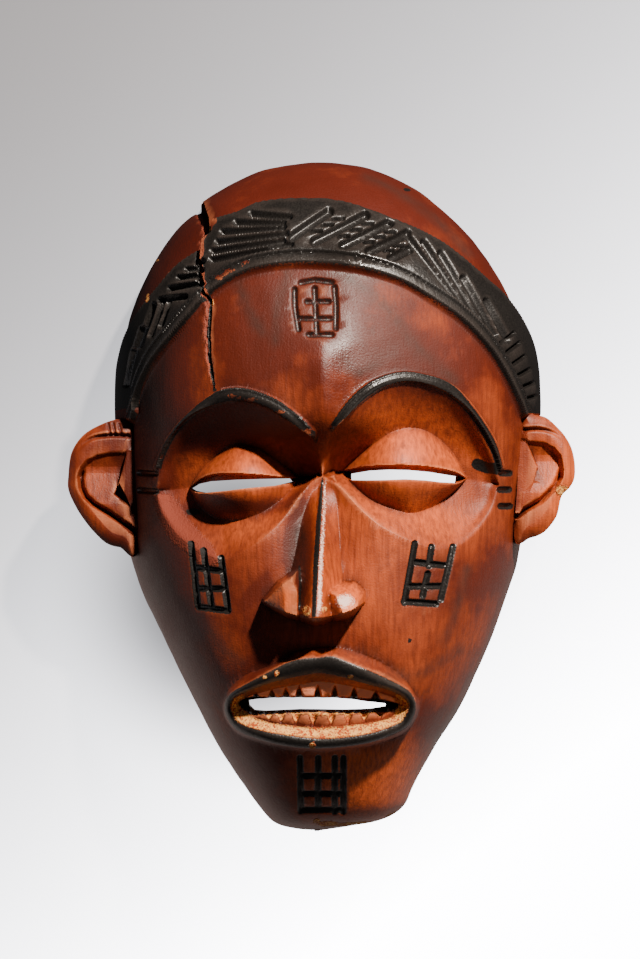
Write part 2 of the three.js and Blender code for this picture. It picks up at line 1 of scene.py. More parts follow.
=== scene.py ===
"""A pwo face mask: one block of wood, carved, painted black in places and rubbed with red earth."""
import bpy
import numpy as np
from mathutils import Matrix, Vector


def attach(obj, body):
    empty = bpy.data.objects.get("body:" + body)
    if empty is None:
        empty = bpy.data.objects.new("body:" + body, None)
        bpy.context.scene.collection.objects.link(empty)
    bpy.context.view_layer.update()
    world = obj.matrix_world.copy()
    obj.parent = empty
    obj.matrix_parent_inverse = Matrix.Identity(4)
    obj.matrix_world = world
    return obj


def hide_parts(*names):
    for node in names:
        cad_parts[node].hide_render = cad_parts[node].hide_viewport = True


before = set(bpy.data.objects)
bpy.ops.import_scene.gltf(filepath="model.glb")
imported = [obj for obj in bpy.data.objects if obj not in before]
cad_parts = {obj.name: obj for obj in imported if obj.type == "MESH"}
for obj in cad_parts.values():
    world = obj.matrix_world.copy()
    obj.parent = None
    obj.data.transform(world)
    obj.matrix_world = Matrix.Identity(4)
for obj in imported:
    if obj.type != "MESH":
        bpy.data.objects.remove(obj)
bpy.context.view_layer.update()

# The head: a long oval dome, hewn with an adze from one block from which every piece
# of the mask is cut, so the next sections raise or lower its surface before the mesh
# is made. Millimetres: x to the viewer's right, y towards the crown, z out of the face.
MID_X = 0.8                                 # the face's middle line
SIDE_WALL = 22.0                            # height of the steep side under the dome
CROWN_Y, CROWN_Z = 22.0, 102.0              # the dome's highest place
TROUGH_DEEP, KEEL_HIGH = 15.0, 5.0
MIDDLE = (0.8, -4.0)                        # the outline's middle
CENTRE = np.array([0.525, -5.78, 0.0])      # where the lying mask has its frame's origin
OUTLINE = [
    (-2, 125.2), (-20, 122.8), (-30, 119.2), (-39.6, 114.1), (-46.5, 109.5), (-52.5, 105), (-59.3, 96.5),
    (-66.5, 84.9), (-70, 77.7), (-74, 67), (-76.4, 57.2), (-77.6, 46), (-77.9, 30), (-77.8, 15), (-77.4, 0),
    (-76.6, -16), (-75.6, -27), (-70.4, -43.7), (-64.5, -56.4), (-53.4, -79.3), (-43.5, -99), (-36.4, -111),
    (-28.5, -122.8), (-23, -130.2), (-19.2, -134.4), (-14.5, -136.4), (-7.9, -137.2), (4, -137), (15.8, -135.5),
    (24.2, -134), (30.2, -131.4), (34, -127.6), (36.6, -121.8), (40, -114.9), (47.5, -102), (57.4, -86),
    (67.2, -63.5), (73.2, -47.7), (77.5, -34), (80, -20), (82, -2), (83.6, 14), (84.2, 30), (83.4, 44),
    (81, 55.6), (76.7, 67.1), (71.2, 78.5), (63.3, 90.8), (55.4, 99.8), (47.5, 107.2), (39.6, 113.6),
    (31.6, 118), (23.7, 121.3), (15, 123.8),
]
PROFILE = [(-137.4, 46), (-131, 60), (-118, 71), (-104, 80), (-85, 88.5), (-60, 94.5), (-30, 98), (0, 100.5),
           (22, 102)]


def smooth_line(points, closed=False, steps=24):
    """Cubic between each two points, whose slope at a point is half the step between its neighbours."""
    p = np.array(points, float)
    if closed:
        a, b, c, d = np.roll(p, 1, 0), p, np.roll(p, -1, 0), np.roll(p, -2, 0)
    else:
        p = np.vstack([2 * p[0] - p[1], p, 2 * p[-1] - p[-2]])
        a, b, c, d = p[:-3], p[1:-2], p[2:-1], p[3:]
    t = np.linspace(0, 1, steps, endpoint=False)[:, None, None]
    line = b + 0.5 * ((c - a) * t + (2 * a - 5 * b + 4 * c - d) * t**2 + (3 * b - a - 3 * c + d) * t**3)
    line = line.transpose(1, 0, 2).reshape(-1, p.shape[1])
    return line if closed else np.vstack([line, p[-2]])


def height_line(points):
    """y as a function of x along a smooth line through the points, held at both ends."""
    line = smooth_line(points)
    line = line[np.argsort(line[:, 0])]
    return lambda x: np.interp(x, line[:, 0], line[:, 1])


def reach_of(points, centre):
    """Distance from the centre to a closed line as a function of the angle round the centre."""
    d = smooth_line(points, closed=True) - np.array(centre)
    order = np.argsort(np.arctan2(d[:, 1], d[:, 0]))
    angle, reach = np.arctan2(d[:, 1], d[:, 0])[order], np.hypot(d[:, 0], d[:, 1])[order]
    return lambda a: np.interp(a, angle, reach, period=2 * np.pi)


def ease(t):
    """0 below 0, 1 above 1 and 3t^2 - 2t^3 between."""
    t = np.clip(t, 0, 1)
    return t * t * (3 - 2 * t)


def bell(d, width):
    """exp(-(d / width)^2), a round bump of height 1."""
    return np.exp(-((d / width) ** 2))


outline = smooth_line(OUTLINE, closed=True, steps=60)
head_reach = reach_of(OUTLINE, MIDDLE)
crown = outline[:, 1].max()
is_left = outline[:, 0] < MID_X
left_side, right_side = (side[np.argsort(side[:, 1])] for side in (outline[is_left], outline[~is_left]))
profile = height_line(PROFILE)


def dome(x, y):
    """Side wall plus a section of power 2.3 to 3.6 across the face, as high as the profile along the middle,
    with a trough at the root of the nose and a keel down the forehead."""
    rise = np.clip((y - CROWN_Y) / (crown - CROWN_Y), 0, 1)
    arched = SIDE_WALL + (CROWN_Z - SIDE_WALL) * (1 - rise**2.5) ** 0.55
    crest = np.where(y > CROWN_Y, arched, profile(y))
    half = np.where(x < MID_X, MID_X - np.interp(y, left_side[:, 1], left_side[:, 0]),
                    np.interp(y, right_side[:, 1], right_side[:, 0]) - MID_X)
    across = np.clip(np.abs(x - MID_X) / np.maximum(half, 0.01), 0, 1)
    power = 2.3 + 1.3 * ease((-15 - y) / 60)
    skin = SIDE_WALL + (crest - SIDE_WALL) * (1 - across**power) ** 0.5
    trough = TROUGH_DEEP * bell(x - MID_X, 16) * bell(y - 2, np.where(y > 2, 14, 34))
    off_keel = np.hypot(x - np.interp(y, [16, 70], [1.9, 0.2]), 1.2) - 1.2
    keel = KEEL_HIGH * ease((y - 4) / 22) * ease((74 - y) / 34) * np.exp(-((off_keel / 13) ** 1.15))
    return skin - trough + keel


# The eye sockets: on each side a hollow of two nearly flat planes that meet in a
# crease at eye level, with the half-closed lids standing in it as a low roof and the
# slit cut steeply between them. Every line runs from the nose outwards.
CREASE_DEEP, LID_PROUD, RECESS = 22.0, 19.5, 8.0
RIGHT_EYE = dict(
    crease=[(0.8, 1.5), (8.8, 2.8), (30, 2.5), (56, 0.2), (69.3, -2)],
    brow=[(0.8, 1.6), (1.2, 6.5), (2.6, 13), (5.2, 19.6), (9.5, 23.8), (16, 29.5), (23.6, 34.8), (31.2, 37.1),
          (40, 36.4), (48.4, 32.9), (55.2, 27.6), (60.9, 20.8), (65.9, 12.4), (68.6, 4.6), (69.3, -2)],
    cheek=[(0.8, 1.4), (4, -0.6), (8.2, -3.4), (15.3, -11.2), (23, -17.6), (32, -22.2), (42, -26), (50, -26.3),
           (57.5, -23), (64.5, -16), (68.2, -9.5), (69.3, -2)],
    lid_top=[(8.8, 3.4), (15.3, 9.4), (22.3, 15), (28.3, 18.5), (34.3, 19.8), (40.3, 18.8), (46.4, 15), (52.4, 8.5),
             (56.6, 0.5)],
    slit_top=[(8.8, 3.4), (17.2, 5), (30.6, 5.6), (42.1, 4.9), (51.7, 3), (56.6, 0.5)],
    slit_low=[(8.8, 3.2), (12.3, -0.2), (24.9, -0.3), (40.2, -0.4), (51.5, -1.6), (56.6, 0.3)],
    lid_low=[(8.8, 3.1), (12.3, -1.7), (19.2, -7.5), (26.8, -10.9), (35.2, -12.8), (44, -10.1), (50.6, -5.6),
             (56.6, 0.2)],
    slit=[(12.1, 2.2), (19.2, 3.4), (26.9, 3.8), (34.6, 3.6), (42.2, 2.9), (52.8, 1.2), (52.4, -1.3), (46.1, -1.0),
          (40.3, -0.3), (32.6, 0.1), (25, -0.2), (17.3, -0.3), (12.1, -0.2)],
)
LEFT_EYE = dict(
    crease=[(0.8, 1.5), (-8.2, 0.6), (-30, 1.2), (-50, -3), (-63, -4.5)],
    brow=[(0.8, 1.6), (0.2, 6.5), (-1, 12), (-2.6, 16.4), (-8, 20), (-15.5, 24.8), (-23, 28.6), (-31.5, 29.8),
          (-40, 28.4), (-47.5, 25.2), (-53.5, 20.2), (-58, 13.8), (-61.5, 6), (-63, -4.5)],
    cheek=[(0.8, 1.4), (-3, -0.6), (-7.5, -6), (-14, -15), (-22, -22.5), (-30, -28), (-37, -30.4), (-44, -28.2),
           (-51.5, -24), (-58, -17.5), (-61.8, -11), (-63, -4.5)],
    lid_top=[(-8.2, 0.5), (-15, 6), (-22.5, 11.2), (-30, 13.4), (-34, 13), (-42, 7.4), (-47, 2), (-50.4, -3.2)],
    slit_top=[(-8.2, 0.4), (-16, 1.2), (-27, 2.2), (-38, 2.4), (-45, 0.8), (-50.4, -3.2)],
    slit_low=[(-8.2, 0.2), (-12, -1.6), (-22, -2.8), (-32, -3.8), (-42, -5.2), (-47.5, -5), (-50.4, -3.4)],
    lid_low=[(-8.2, 0.1), (-13, -6), (-19.5, -11), (-27, -14.6), (-34, -15.5), (-41, -14.4), (-46.5, -10),
             (-50.4, -3.5)],
    slit=[(-49.6, -3.4), (-46.8, -1.7), (-42.2, -0.7), (-32.6, -0.1), (-23, 0.2), (-11.6, 0.4), (-10.6, -0.8),
          (-17.3, -2.4), (-26.9, -3.2), (-36.5, -4.4), (-44.2, -5.1), (-48, -4.4)],
)


def line_near(x, y, line):
    """Distance from each place to the nearest piece of a line."""
    away = np.full(x.shape, 1e9)
    for (ax, ay), (bx, by) in zip(line[:-1], line[1:]):
        t = np.clip(((x - ax) * (bx - ax) + (y - ay) * (by - ay)) / max((bx - ax) ** 2 + (by - ay) ** 2, 1e-9), 0, 1)
        away = np.minimum(away, np.hypot(x - ax - t * (bx - ax), y - ay - t * (by - ay)))
    return away


def inside_loop(x, y, loop):
    """True where a level line to the right crosses the closed line an odd number of times."""
    odd = np.zeros(x.shape, bool)
    for (ax, ay), (bx, by) in zip(loop, np.roll(loop, -1, 0)):
        if ay != by:
            odd ^= ((ay > y) != (by > y)) & (x < (bx - ax) * (y - ay) / (by - ay) + ax)
    return odd


def mm_inside(x, y, loop):
    """Distance to a closed line, positive inside it and negative outside."""
    away = line_near(x, y, np.vstack([loop, loop[:1]]))
    return np.where(inside_loop(x, y, loop), away, -away)


def carve_eye(x, y, z, eye):
    """Socket: from the crease, sunk under the dome, up to the dome's height along the edge, weighed by one over
    distance to the fourth, as a power of the share of the way. Lids: up to a peak along the slit, then steeply in."""
    line = {name: height_line(points) for name, points in eye.items() if name != "slit"}
    inner, outer = eye["crease"][0][0], eye["crease"][-1][0]
    brow, cheek = (smooth_line(eye[name], steps=6) for name in ("brow", "cheek"))
    edge = np.vstack([brow, cheek[-2:0:-1], brow[:1]])
    edge_z = dome(*edge.T)

    def sunk_at(px):
        along = np.clip((px - inner) / (outer - inner), 0, 1)
        return dome(px, line["crease"](px)) - CREASE_DEEP * np.sin(np.pi * along**0.75) ** 0.55

    def socket(px, py):
        weight = 1 / ((px[:, None] - edge[:, 0]) ** 2 + (py[:, None] - edge[:, 1]) ** 2 + 0.3) ** 2
        crease = line["crease"](px)
        away, fall = line_near(px, py, edge), np.abs(py - crease)
        rim = weight @ edge_z / weight.sum(axis=1)
        rim = rim + (dome(px, py) - rim) * bell(away, 2.5)
        deep = sunk_at(px)
        return deep + (rim - deep) * (fall / np.maximum(fall + away, 1e-6)) ** np.where(py > crease, 1.08, 1.15)

    inside = inside_loop(x, y, edge[:-1])
    z = z.copy()
    z[inside] = np.minimum(z[inside], socket(x[inside], y[inside]))
    start, end = eye["lid_top"][0][0], eye["lid_top"][-1][0]
    ticks = np.sort(np.linspace(start, end, 120))
    from_top, from_foot = (np.interp(x, ticks, socket(ticks, line[name](ticks))) for name in ("lid_top", "lid_low"))
    lid_x = np.clip(x, *sorted((start, end)))
    top, high, low, foot = (line[name](lid_x) for name in ("lid_top", "slit_top", "slit_low", "lid_low"))
    peak = sunk_at(lid_x) + LID_PROUD * np.sin(np.pi * (lid_x - start) / (end - start)) ** 0.6
    up = np.clip((y - high) / np.maximum(top - high, 0.01), 0, 1)
    down = np.clip((low - y) / np.maximum(low - foot, 0.01), 0, 1)
    roof = np.where(y > (high + low) / 2, from_top + (peak - from_top) * (1 - up**1.6),
                    from_foot + (peak - from_foot) * (1 - down**1.6))
    roof = roof - RECESS * np.clip(np.minimum(high - y, y - low), 0, 1)
    return np.where((x == lid_x) & (y < top) & (y > foot), roof, z)


# The brows: a black bevel along each socket's upper edge. Its forehead side stands
# up as a thin crisp lip, and it narrows towards the temple.
BROW_PROUD = 1.8
RIGHT_BROW_TOP = [(4.2, 20.8), (9.5, 28.4), (17.1, 35.6), (24.8, 39.4), (32.4, 40.8), (40, 39.8), (47.6, 37.5),
                  (53.3, 33.7), (61, 24.6), (67.4, 14.7), (70.3, 6.3), (70.6, 2.6)]
LEFT_BROW_TOP = [(-1.5, 17.6), (-7.6, 23.8), (-15.2, 29.5), (-22.9, 33), (-30.5, 34.7), (-38.1, 33.7), (-45.7, 29.1),
                 (-53.3, 22.3), (-59, 15), (-62.9, 6.7), (-63.6, 2.7)]
BROWS = [(RIGHT_EYE, RIGHT_BROW_TOP), (LEFT_EYE, LEFT_BROW_TOP)]


def brow_place(x, y, eye, top):
    """Millimetres inside one brow's bevel and below its upper line, negative outside."""
    upper = smooth_line(top, steps=6)
    lower = smooth_line(eye["brow"], steps=6)
    lower = lower[(np.abs(lower[:, 0]) > abs(top[0][0])) & (lower[:, 1] > top[-1][1])]
    inside = mm_inside(x, y, np.vstack([upper, lower[::-1]]))
    away = line_near(x, y, upper)
    return inside, np.where(inside > 0, away, -away)


def brow_relief(x, y, eye, top):
    """A thin lip that rises over 0.9 mm at the upper line, and a round band below it down to the socket's edge."""
    inside, under = brow_place(x, y, eye, top)
    lip = np.interp(under, [-0.8, 0.1, 0.5, 0.9, 1.9, 2.8, 4.0, 5.5], [0, 0.75, 0.75, 0.72, 1, 0.95, 0.6, 0.1])
    ends = np.minimum(np.abs(x - top[0][0]), np.abs(y - top[-1][1]) + (np.abs(x) < 50) * 99)
    return BROW_PROUD * lip * ease((inside + 0.9) / 0.9) * ease(ends / 3 + 0.2)


# The nose: a narrow ridge with two flat flanks that climbs to its tip. The wings
# are small bosses cut with flat facets, each given as its height at a point and its
# slopes to the right and up.
ROOT, TIP = (0.8, 1.0, 84.0), (-1.6, -51.5, 118.0)
NOSE_LEFT = [(0, 2.2), (0.1, 4.9), (0.31, 7.7), (0.57, 9.7), (0.72, 11.2), (1, 12.6)]     # half width down the nose
NOSE_RIGHT = [(0, 4.5), (0.1, 7), (0.5, 8.6), (0.76, 10.3), (1, 12.4)]
LEFT_WING = [(112, -12, -44, 0.08, 0.12), (111.8, -14.8, -39.9, 0.9, 0.2), (111.8, -14.8, -39.9, 5, -7.4),
             (109.5, -14.8, -39.9, 5.4, -4.5), (112, -10.7, -37.1, -2.8, -1.1), (111.5, -8.6, 0, -6, 0)]
RIGHT_WING = [(112, 9.5, -46, -0.35, -0.8), (112, 14, 0, -5, 0), (111, 0, -43.5, 0, -3.4),
              (110, 8.3, -41.1, -1.9, -2), (111.5, 6, 0, 1.5, 0)]


def carve_nose(x, y, z):
    """Ridge: height and half width grow with the way from root to tip. Wings: the lowest of their facets' planes.
    Both end below in an arc, under which the surface falls off steeply."""
    way = np.clip((ROOT[1] - y) / (ROOT[1] - TIP[1]), 0, 1)
    ridge_x = ROOT[0] + (TIP[0] - ROOT[0]) * way
    ridge_z = ROOT[2] + (TIP[2] - ROOT[2]) * way**0.95
    dx = x - ridge_x
    flat = 0.9 + 1.6 * way
    wide = np.where(dx < 0, np.interp(way, *zip(*NOSE_LEFT)), np.interp(way, *zip(*NOSE_RIGHT)))
    foot = dome(ridge_x + np.sign(dx) * wide, y) - 1.0
    out = (np.abs(dx) - flat) / (wide - flat)
    nose = ridge_z - 1.3 * np.clip(np.abs(dx) / flat, 0, 1) ** 2
    nose = nose - (ridge_z - 1.3 - foot) * np.clip(out, 0, 1) ** 1.05
    nose = nose - 30 * np.clip(out - 1, 0, 9) - 4 * np.maximum(y - ROOT[1], 0)
    left, right = (np.minimum.reduce([level + across * (x - at_x) + up * (y - at_y)
                                      for level, at_x, at_y, across, up in facets])
                   for facets in (LEFT_WING, RIGHT_WING))
    wings = np.maximum(np.where(x < -4, left, 0), np.where(x > 3, right, 0))
    nose = np.maximum(nose, np.where(wings > dome(x, y), wings, 0))
    below = np.minimum(y - (TIP[1] - 0.7 + 0.0156 * (x - TIP[0]) ** 2), 0)
    return np.maximum(z, nose + 7 * below)


# The mouth: thick lips stand off the face, painted black, and fall inwards to two
# rows of small teeth, filed blunt above and pointed below, with an open slot between.
# Each ring is listed from the left corner over the upper lip and back below.
MOUTH = (0.0, -86.5)
BEVEL = [(-37.5, -86.5), (-35, -80.5), (-28.6, -75), (-19.8, -71.5), (-13.3, -68.5), (-7.6, -65.3), (-1, -64),
         (4.6, -63.9), (11.5, -65.1), (21, -68.5), (30, -73.9), (35.2, -80.2), (38.3, -86.5), (36, -93.5),
         (31, -98.5), (21, -101.8), (11.5, -103.3), (0, -104.3), (-11.5, -103.6), (-22, -101.4), (-31.6, -98),
         (-36.2, -92.5)]
LIP = [(-36.6, -86.5), (-34, -81.5), (-26.7, -77), (-19, -72.8), (-13.3, -69.8), (-7.6, -68), (-1, -67.5),
       (4.6, -67), (10.3, -69.1), (19, -72.6), (28.6, -77.2), (34.5, -81), (36.8, -86.5), (35.2, -92.5), (31.4, -96),
       (21.8, -99.9), (11.5, -102), (0, -102.9), (-11.5, -102.2), (-22, -99.9), (-31.4, -96.5), (-35.5, -92)]
INNER = [(-34, -86.5), (-32, -83), (-25.2, -79.9), (-18.3, -77.3), (-11.4, -75.6), (-5.7, -74.5), (0, -73.7),
         (5.7, -74.6), (12.2, -76.4), (19.8, -78.5), (27.5, -80.8), (32, -83.3), (33.8, -86.5), (32.6, -90),
         (30, -93), (21, -96.4), (11.5, -98.1), (0, -98.9), (-11.5, -97.8), (-22, -96), (-30.5, -93.4),
         (-33.6, -89.6)]
GUM = [(-32.3, -86.2), (-29.2, -83.6), (-22, -81.2), (-15.3, -79.4), (-7.6, -78.1), (-0.4, -77), (7.6, -78),
       (15.3, -79.6), (22.9, -81.3), (29.4, -84), (31.6, -86.3), (30.4, -88.6), (27.5, -91.3), (19.8, -93.4),
       (11.4, -94.5), (0, -95.6), (-9.5, -94.9), (-19, -93.4), (-26.7, -90.9), (-31, -88.4)]
GAPE = [(-31.8, -85.8), (-27.5, -83.4), (-19, -83.1), (-7.6, -82.8), (0, -82.8), (7.6, -82.9), (17.2, -83.6),
        (26, -84.8), (30.4, -86.4), (27, -88.2), (17.2, -89.2), (7.6, -89.4), (0, -89.4), (-7.6, -89.3),
        (-19, -89.9), (-27.4, -89.6)]
SLOT = [(-27.4, -84.8), (-21, -84), (-15.3, -83.7), (3.8, -83.7), (9.6, -84), (19.1, -85.3), (25.4, -86),
        (25.2, -87.4), (19.1, -88.3), (9.6, -88.6), (-7.6, -88.4), (-21, -89.2), (-25.2, -89), (-27.2, -87)]
UPPER_NOTCHES = [-24.5, -18.4, -13, -8, -0.9, 5.6, 13, 21.2]
LOWER_NOTCHES = [-24.9, -19.5, -14.9, -9.2, -2.7, 4.2, 10.7, 16.9, 23]
LIP_PROUD, NOTCH_DEEP = 8.5, 3.2
rings = [reach_of(points, MOUTH) for points in (BEVEL, LIP, INNER, GUM, GAPE)]


def mouth_place(x, y):
    """Distance from the mouth's middle, angle, and the five rings' reach at that angle."""
    dx, dy = x - MOUTH[0], y - MOUTH[1]
    angle = np.arctan2(dy, dx)
    return np.hypot(dx, dy), angle, [ring(angle) for ring in rings]


def notches(x, y):
    """0 to 1: how deep a point lies in the V cuts between the teeth, which widen towards the slot."""
    deep = np.zeros_like(x)
    for tips, gum, slot, wide in ((UPPER_NOTCHES, -77.4, -83.4, 2.0), (LOWER_NOTCHES, -94.8, -89.0, 2.4)):
        for tip in tips:
            start = gum + 0.0062 * tip**2 * np.sign(slot - gum)
            way = (y - start) / (slot - start)
            half = wide * np.clip(way, 0, 1.3)
            inside = np.clip(1 - np.abs(x - tip) / np.maximum(half, 0.01), 0, 1) * (way > 0) * (way < 1.6)
            deep = np.maximum(deep, np.minimum(inside * 1.8, 1) * np.clip(way * 1.8, 0, 1))
    return deep


def carve_mouth(x, y, z):
    """Height over the dome, given ring by ring and joined by slopes, less the notches between the teeth and a
    steep recess inside the gape."""
    rho, angle, reach = mouth_place(x, y)
    up = ease((np.sin(angle) + 0.15) / 0.3)
    level = [0, LIP_PROUD + 0.5 * up, LIP_PROUD - 0.5 - 0.6 * up, 3.6, 3.0 - 0.6 * up]
    bevel, lip, inner, gum = (np.clip((rho - low) / np.maximum(high - low, 0.01), 0, 1)
                              for high, low in zip(reach[:-1], reach[1:]))
    lips = (level[4] + (level[3] - level[4]) * gum + (level[2] - level[3]) * inner**1.2
            + (level[1] - level[2]) * (1 - (1 - lip) ** 2) + (level[0] - level[1]) * bevel)
    lips = lips + 0.9 * np.sin(np.pi * lip) - NOTCH_DEEP * notches(x, y) * (rho < reach[3] + 0.4)
    lips = lips - 9 * ease((reach[4] - rho) / 1.2)
    return np.where(rho < reach[0], dome(x, y) + lips, z)


# The headband: a raised black band over the forehead, its edges planes that lean
# forward. A plain bead runs along its lower edge, and the field above is filled with
# long cuts on the left, slanting bars in the middle and a ladder at the right end.
LEAN = 0.94
BAND_LOW = [(-98, -34), (-73, -30.7), (-70, -24.6), (-66, -21.9), (-58, -19.4), (-50, -15.4), (-43, -9.6),
            (-34, -5.4), (-27, -3.7), (-19, -3.3), (-8, -3.4), (8, -4.7), (19, -6.2), (31, -8.8), (42, -13.1),
            (54, -16.2), (65, -20.7), (73, -25.1), (78, -27), (98, -34)]
BAND_TOP_LEFT = [(-98, 14), (-73, 13.8), (-67, 14), (-60, 16.6), (-52, 23.5), (-44, 28.1), (-40.6, 30)]
BAND_TOP_RIGHT = [(-40.5, 39.5), (-31, 38.7), (-23, 42.2), (-12, 41.8), (4, 40.7), (15, 36.2), (27, 30.7),
                  (39, 28.1), (48, 25.8), (56, 23), (64, 21.7), (72, 23.7), (98, 24)]
BAND_PROUD, BAND_CUT_DEEP = 3.2, 2.3
BAND_ENDS = (21, 23)        # how far down it comes on the left and on the right
# Height over the skin, up from the band's lower edge and down from its upper edge.
BEAD_SECTION = [(-1.1, 0), (-0.3, 0.8), (0.6, 2.8), (1.6, 4.3), (2.6, 4.8), (3.6, 4.4), (4.3, 3.3), (4.8, 2.3),
                (5.2, 2.4), (5.8, 3.5), (6.3, 3.8), (6.9, 3.5), (7.3, 3.2)]
TOP_SECTION = [(-0.8, 0), (0.4, 2.6), (1.1, 4.1), (1.9, 4.4), (2.7, 3.6), (3.3, 3.2)]
BAND_CUTS = {           # strokes by half width
    1.0: [[(-58, 74), (-46.5, 76.2)], [(-54.8, 78.6), (-45.8, 80.6)], [(-51.7, 82.4), (-45.4, 84.1)],
          [(-61.9, 69.5), (-51.9, 70.5)], [(-69.8, 52.1), (-64.3, 67.6)], [(-65.7, 55.9), (-60.7, 69.4)],
          [(-61.7, 59.6), (-57.9, 70)], [(-73.5, 45.7), (-68.7, 58.8)], [(-75.5, 36.8), (-72.3, 50.3)],
          [(-41.9, 84.6), (-14.2, 89.2)], [(-41.6, 88), (-14, 91.8)], [(-39.7, 91.6), (-12.9, 94.4)],
          [(-37.8, 95.5), (-14, 97)], [(-32.4, 99.2), (-14.1, 99)], [(-26.6, 102.6), (-11.8, 101)]],
    1.7: [[(-10.6, 93), (3.4, 103.2)], [(-2, 91.2), (17.4, 101.6)], [(9, 89.6), (26.8, 98.8)],
          [(19, 87.4), (33.4, 94.6)], [(27.5, 85), (34.4, 88.6)]],
    1.2: [[(33.6, 93.8), (51.2, 71.2)], [(40, 91.4), (56.6, 66.4)], [(46.6, 87.2), (63, 60)],
          [(55.4, 77.8), (68, 56)], [(64.4, 69), (72.6, 54)], [(-19.6, 90.6), (-11.4, 90.2)]],
    0.4: [[(px - 1.9, py), (px + 1.9, py)] for px, py in (
        (-1.3, 95.2), (2.9, 97.8), (7.1, 100.3), (9.1, 93.3), (13.7, 95.8), (18.4, 98.2), (18.8, 91), (22.9, 93),
        (26.9, 95.1), (26.4, 87.8), (30.2, 89.7))],
    0.6: [[(69.8, 52.4), (75.4, 56.9)], [(72.2, 48.9), (77.6, 53.1)], [(74.6, 44.4), (79.8, 48)],
          [(76.6, 40), (82, 43)], [(78.4, 35.6), (83.6, 37.8)], [(79.8, 31.2), (84.6, 32.6)]],
}
band_low, band_left, band_right = height_line(BAND_LOW), height_line(BAND_TOP_LEFT), height_line(BAND_TOP_RIGHT)


def band_place(x, y, z):
    """Millimetres along the skin from the band's lower edge and from its upper edge, both positive inside."""
    leaning = y - LEAN * z
    top = np.where(x < -40.5, band_left(x), band_right(x))
    stretch = np.interp(np.abs(x - MID_X), [0, 40, 75, 85], [1.37, 1.3, 1.1, 1.0])
    return (leaning - band_low(x)) / stretch, (top - leaning) / stretch


def cut_distance(x, y, strokes):
    """Distance in plan from each place to the nearest stroke."""
    return np.minimum.reduce([line_near(x, y, stroke) for stroke in strokes])


def band_relief(x, y, z, raised):
    """Height over the skin: the lower of the two edges' sections, less the cuts in the field between them, each an
    even groove of its half width. raised holds the same places lifted to the band's face, where the cuts lie."""
    low, top = band_place(x, y, z)
    height = np.minimum(np.interp(low, *zip(*BEAD_SECTION)), np.interp(top, *zip(*TOP_SECTION)))
    height = height * ease((y - np.where(x < 0, *BAND_ENDS)) / 3)
    field = ease(low - 6.6) * ease(top - 2.2)
    near = np.flatnonzero(field > 0)
    cuts = np.zeros_like(x)
    for half, strokes in BAND_CUTS.items():
        cuts[near] = np.maximum(cuts[near], ease((half + 0.6 - cut_distance(*raised[near, :2].T, strokes)) / 1.3))
    return height - BAND_CUT_DEEP * cuts * field


# The marks: small barred figures cut into forehead, cheeks and chin, with short
# notches on the temples. Each is a row of grooves cut with a knife and blackened.
STROKE_WIDE, STROKE_DEEP = 1.5, 1.3
MARKS = [
    [(-9.7, 72.6), (-9.6, 66), (-8.2, 57)], [(-7.4, 75.2), (-2, 76.2), (4.6, 75.3)],
    [(5.5, 73.4), (6.1, 66), (6, 57.4)], [(-2.1, 73), (-1.2, 55.4)],
    [(-5, 67.8), (3.4, 67.8)], [(-7.6, 61.2), (4.2, 61.2)], [(-4.4, 55), (4.6, 55)],
    [(-49.5, -24.6), (-48.2, -36), (-47, -47.4)], [(-44.6, -27.2), (-41.6, -48.4)], [(-37.8, -30), (-35.2, -49.8)],
    [(-48, -33.8), (-37.4, -35)], [(-47.6, -41.8), (-36.4, -41.8)], [(-46.6, -48.9), (-35.2, -50.2)],
    [(36.2, -24.4), (32.2, -47)], [(42.6, -25.8), (41.6, -33)], [(41.2, -36), (39.2, -44.6)],
    [(51, -25.8), (46.2, -46)], [(36.8, -31.6), (48, -33)], [(33.8, -40.8), (46.4, -40.8)],
    [(32, -46.6), (44.4, -47.6)],
    [(-7.7, -107), (-7.4, -128.5)], [(-0.7, -107), (-0.7, -127.5)], [(5.7, -107), (5.7, -128.8)],
    [(9, -107), (9, -128.8)], [(-7.4, -114.2), (8.6, -114.2)], [(-7.4, -121.4), (8.6, -121.4)],
    [(-7.4, -128), (8.6, -128)],
    [(70.2, 2.4), (73.6, 2.4)], [(69.6, -4), (73.4, -4)], [(70, -10.4), (73.8, -10.4)],
    [(-70.4, 2.6), (-63.6, 2.2)], [(-70.2, -4.2), (-63.2, -4.6)],
]
STROKES = [pair for mark in MARKS for pair in zip(mark[:-1], mark[1:])]


# The crack: the wood has split from the crown down to the left brow. The fragment
# beside it has sunk a little, and the edge on that side is torn and rough.
CRACK = [(-49, 114), (-46.6, 108), (-44.2, 102), (-43.6, 97.5), (-44.6, 90), (-45, 83), (-43.6, 76), (-43, 71),
         (-41.6, 67), (-42.2, 61), (-42.6, 54), (-41.8, 47), (-41.2, 41), (-40.2, 34)]
crack_line = smooth_line(CRACK)[::-1]


def ragged(at, size, seed):
    """A broken line of random heights between -1 and 1, one to each step of the given size."""
    heights = np.random.default_rng(seed).uniform(-1, 1, 400)
    return np.interp(at / size + 60, np.arange(400), heights)


def crack_place(x, y):
    """Millimetres to the right of the crack's uneven line, how wide it is open there and how wide it is torn."""
    side = x - np.interp(y, crack_line[:, 1], crack_line[:, 0]) - ease((y - 34) / 12) * (
        0.35 * ragged(y, 3.1, 1) + 0.12 * ragged(y, 0.9, 2))
    opening = np.interp(y, [33, 40, 60, 80, 95, 108], [0, 0.45, 0.6, 0.55, 0.6, 1.0]) * (1 + 0.4 * ragged(y, 1.7, 3))
    torn = np.interp(y, [36, 44, 68, 80, 96, 108], [0, 0.9, 1.7, 1.1, 1.1, 2.0]) * (1 + 0.5 * ragged(y, 1.3, 4))
    return side, opening, torn


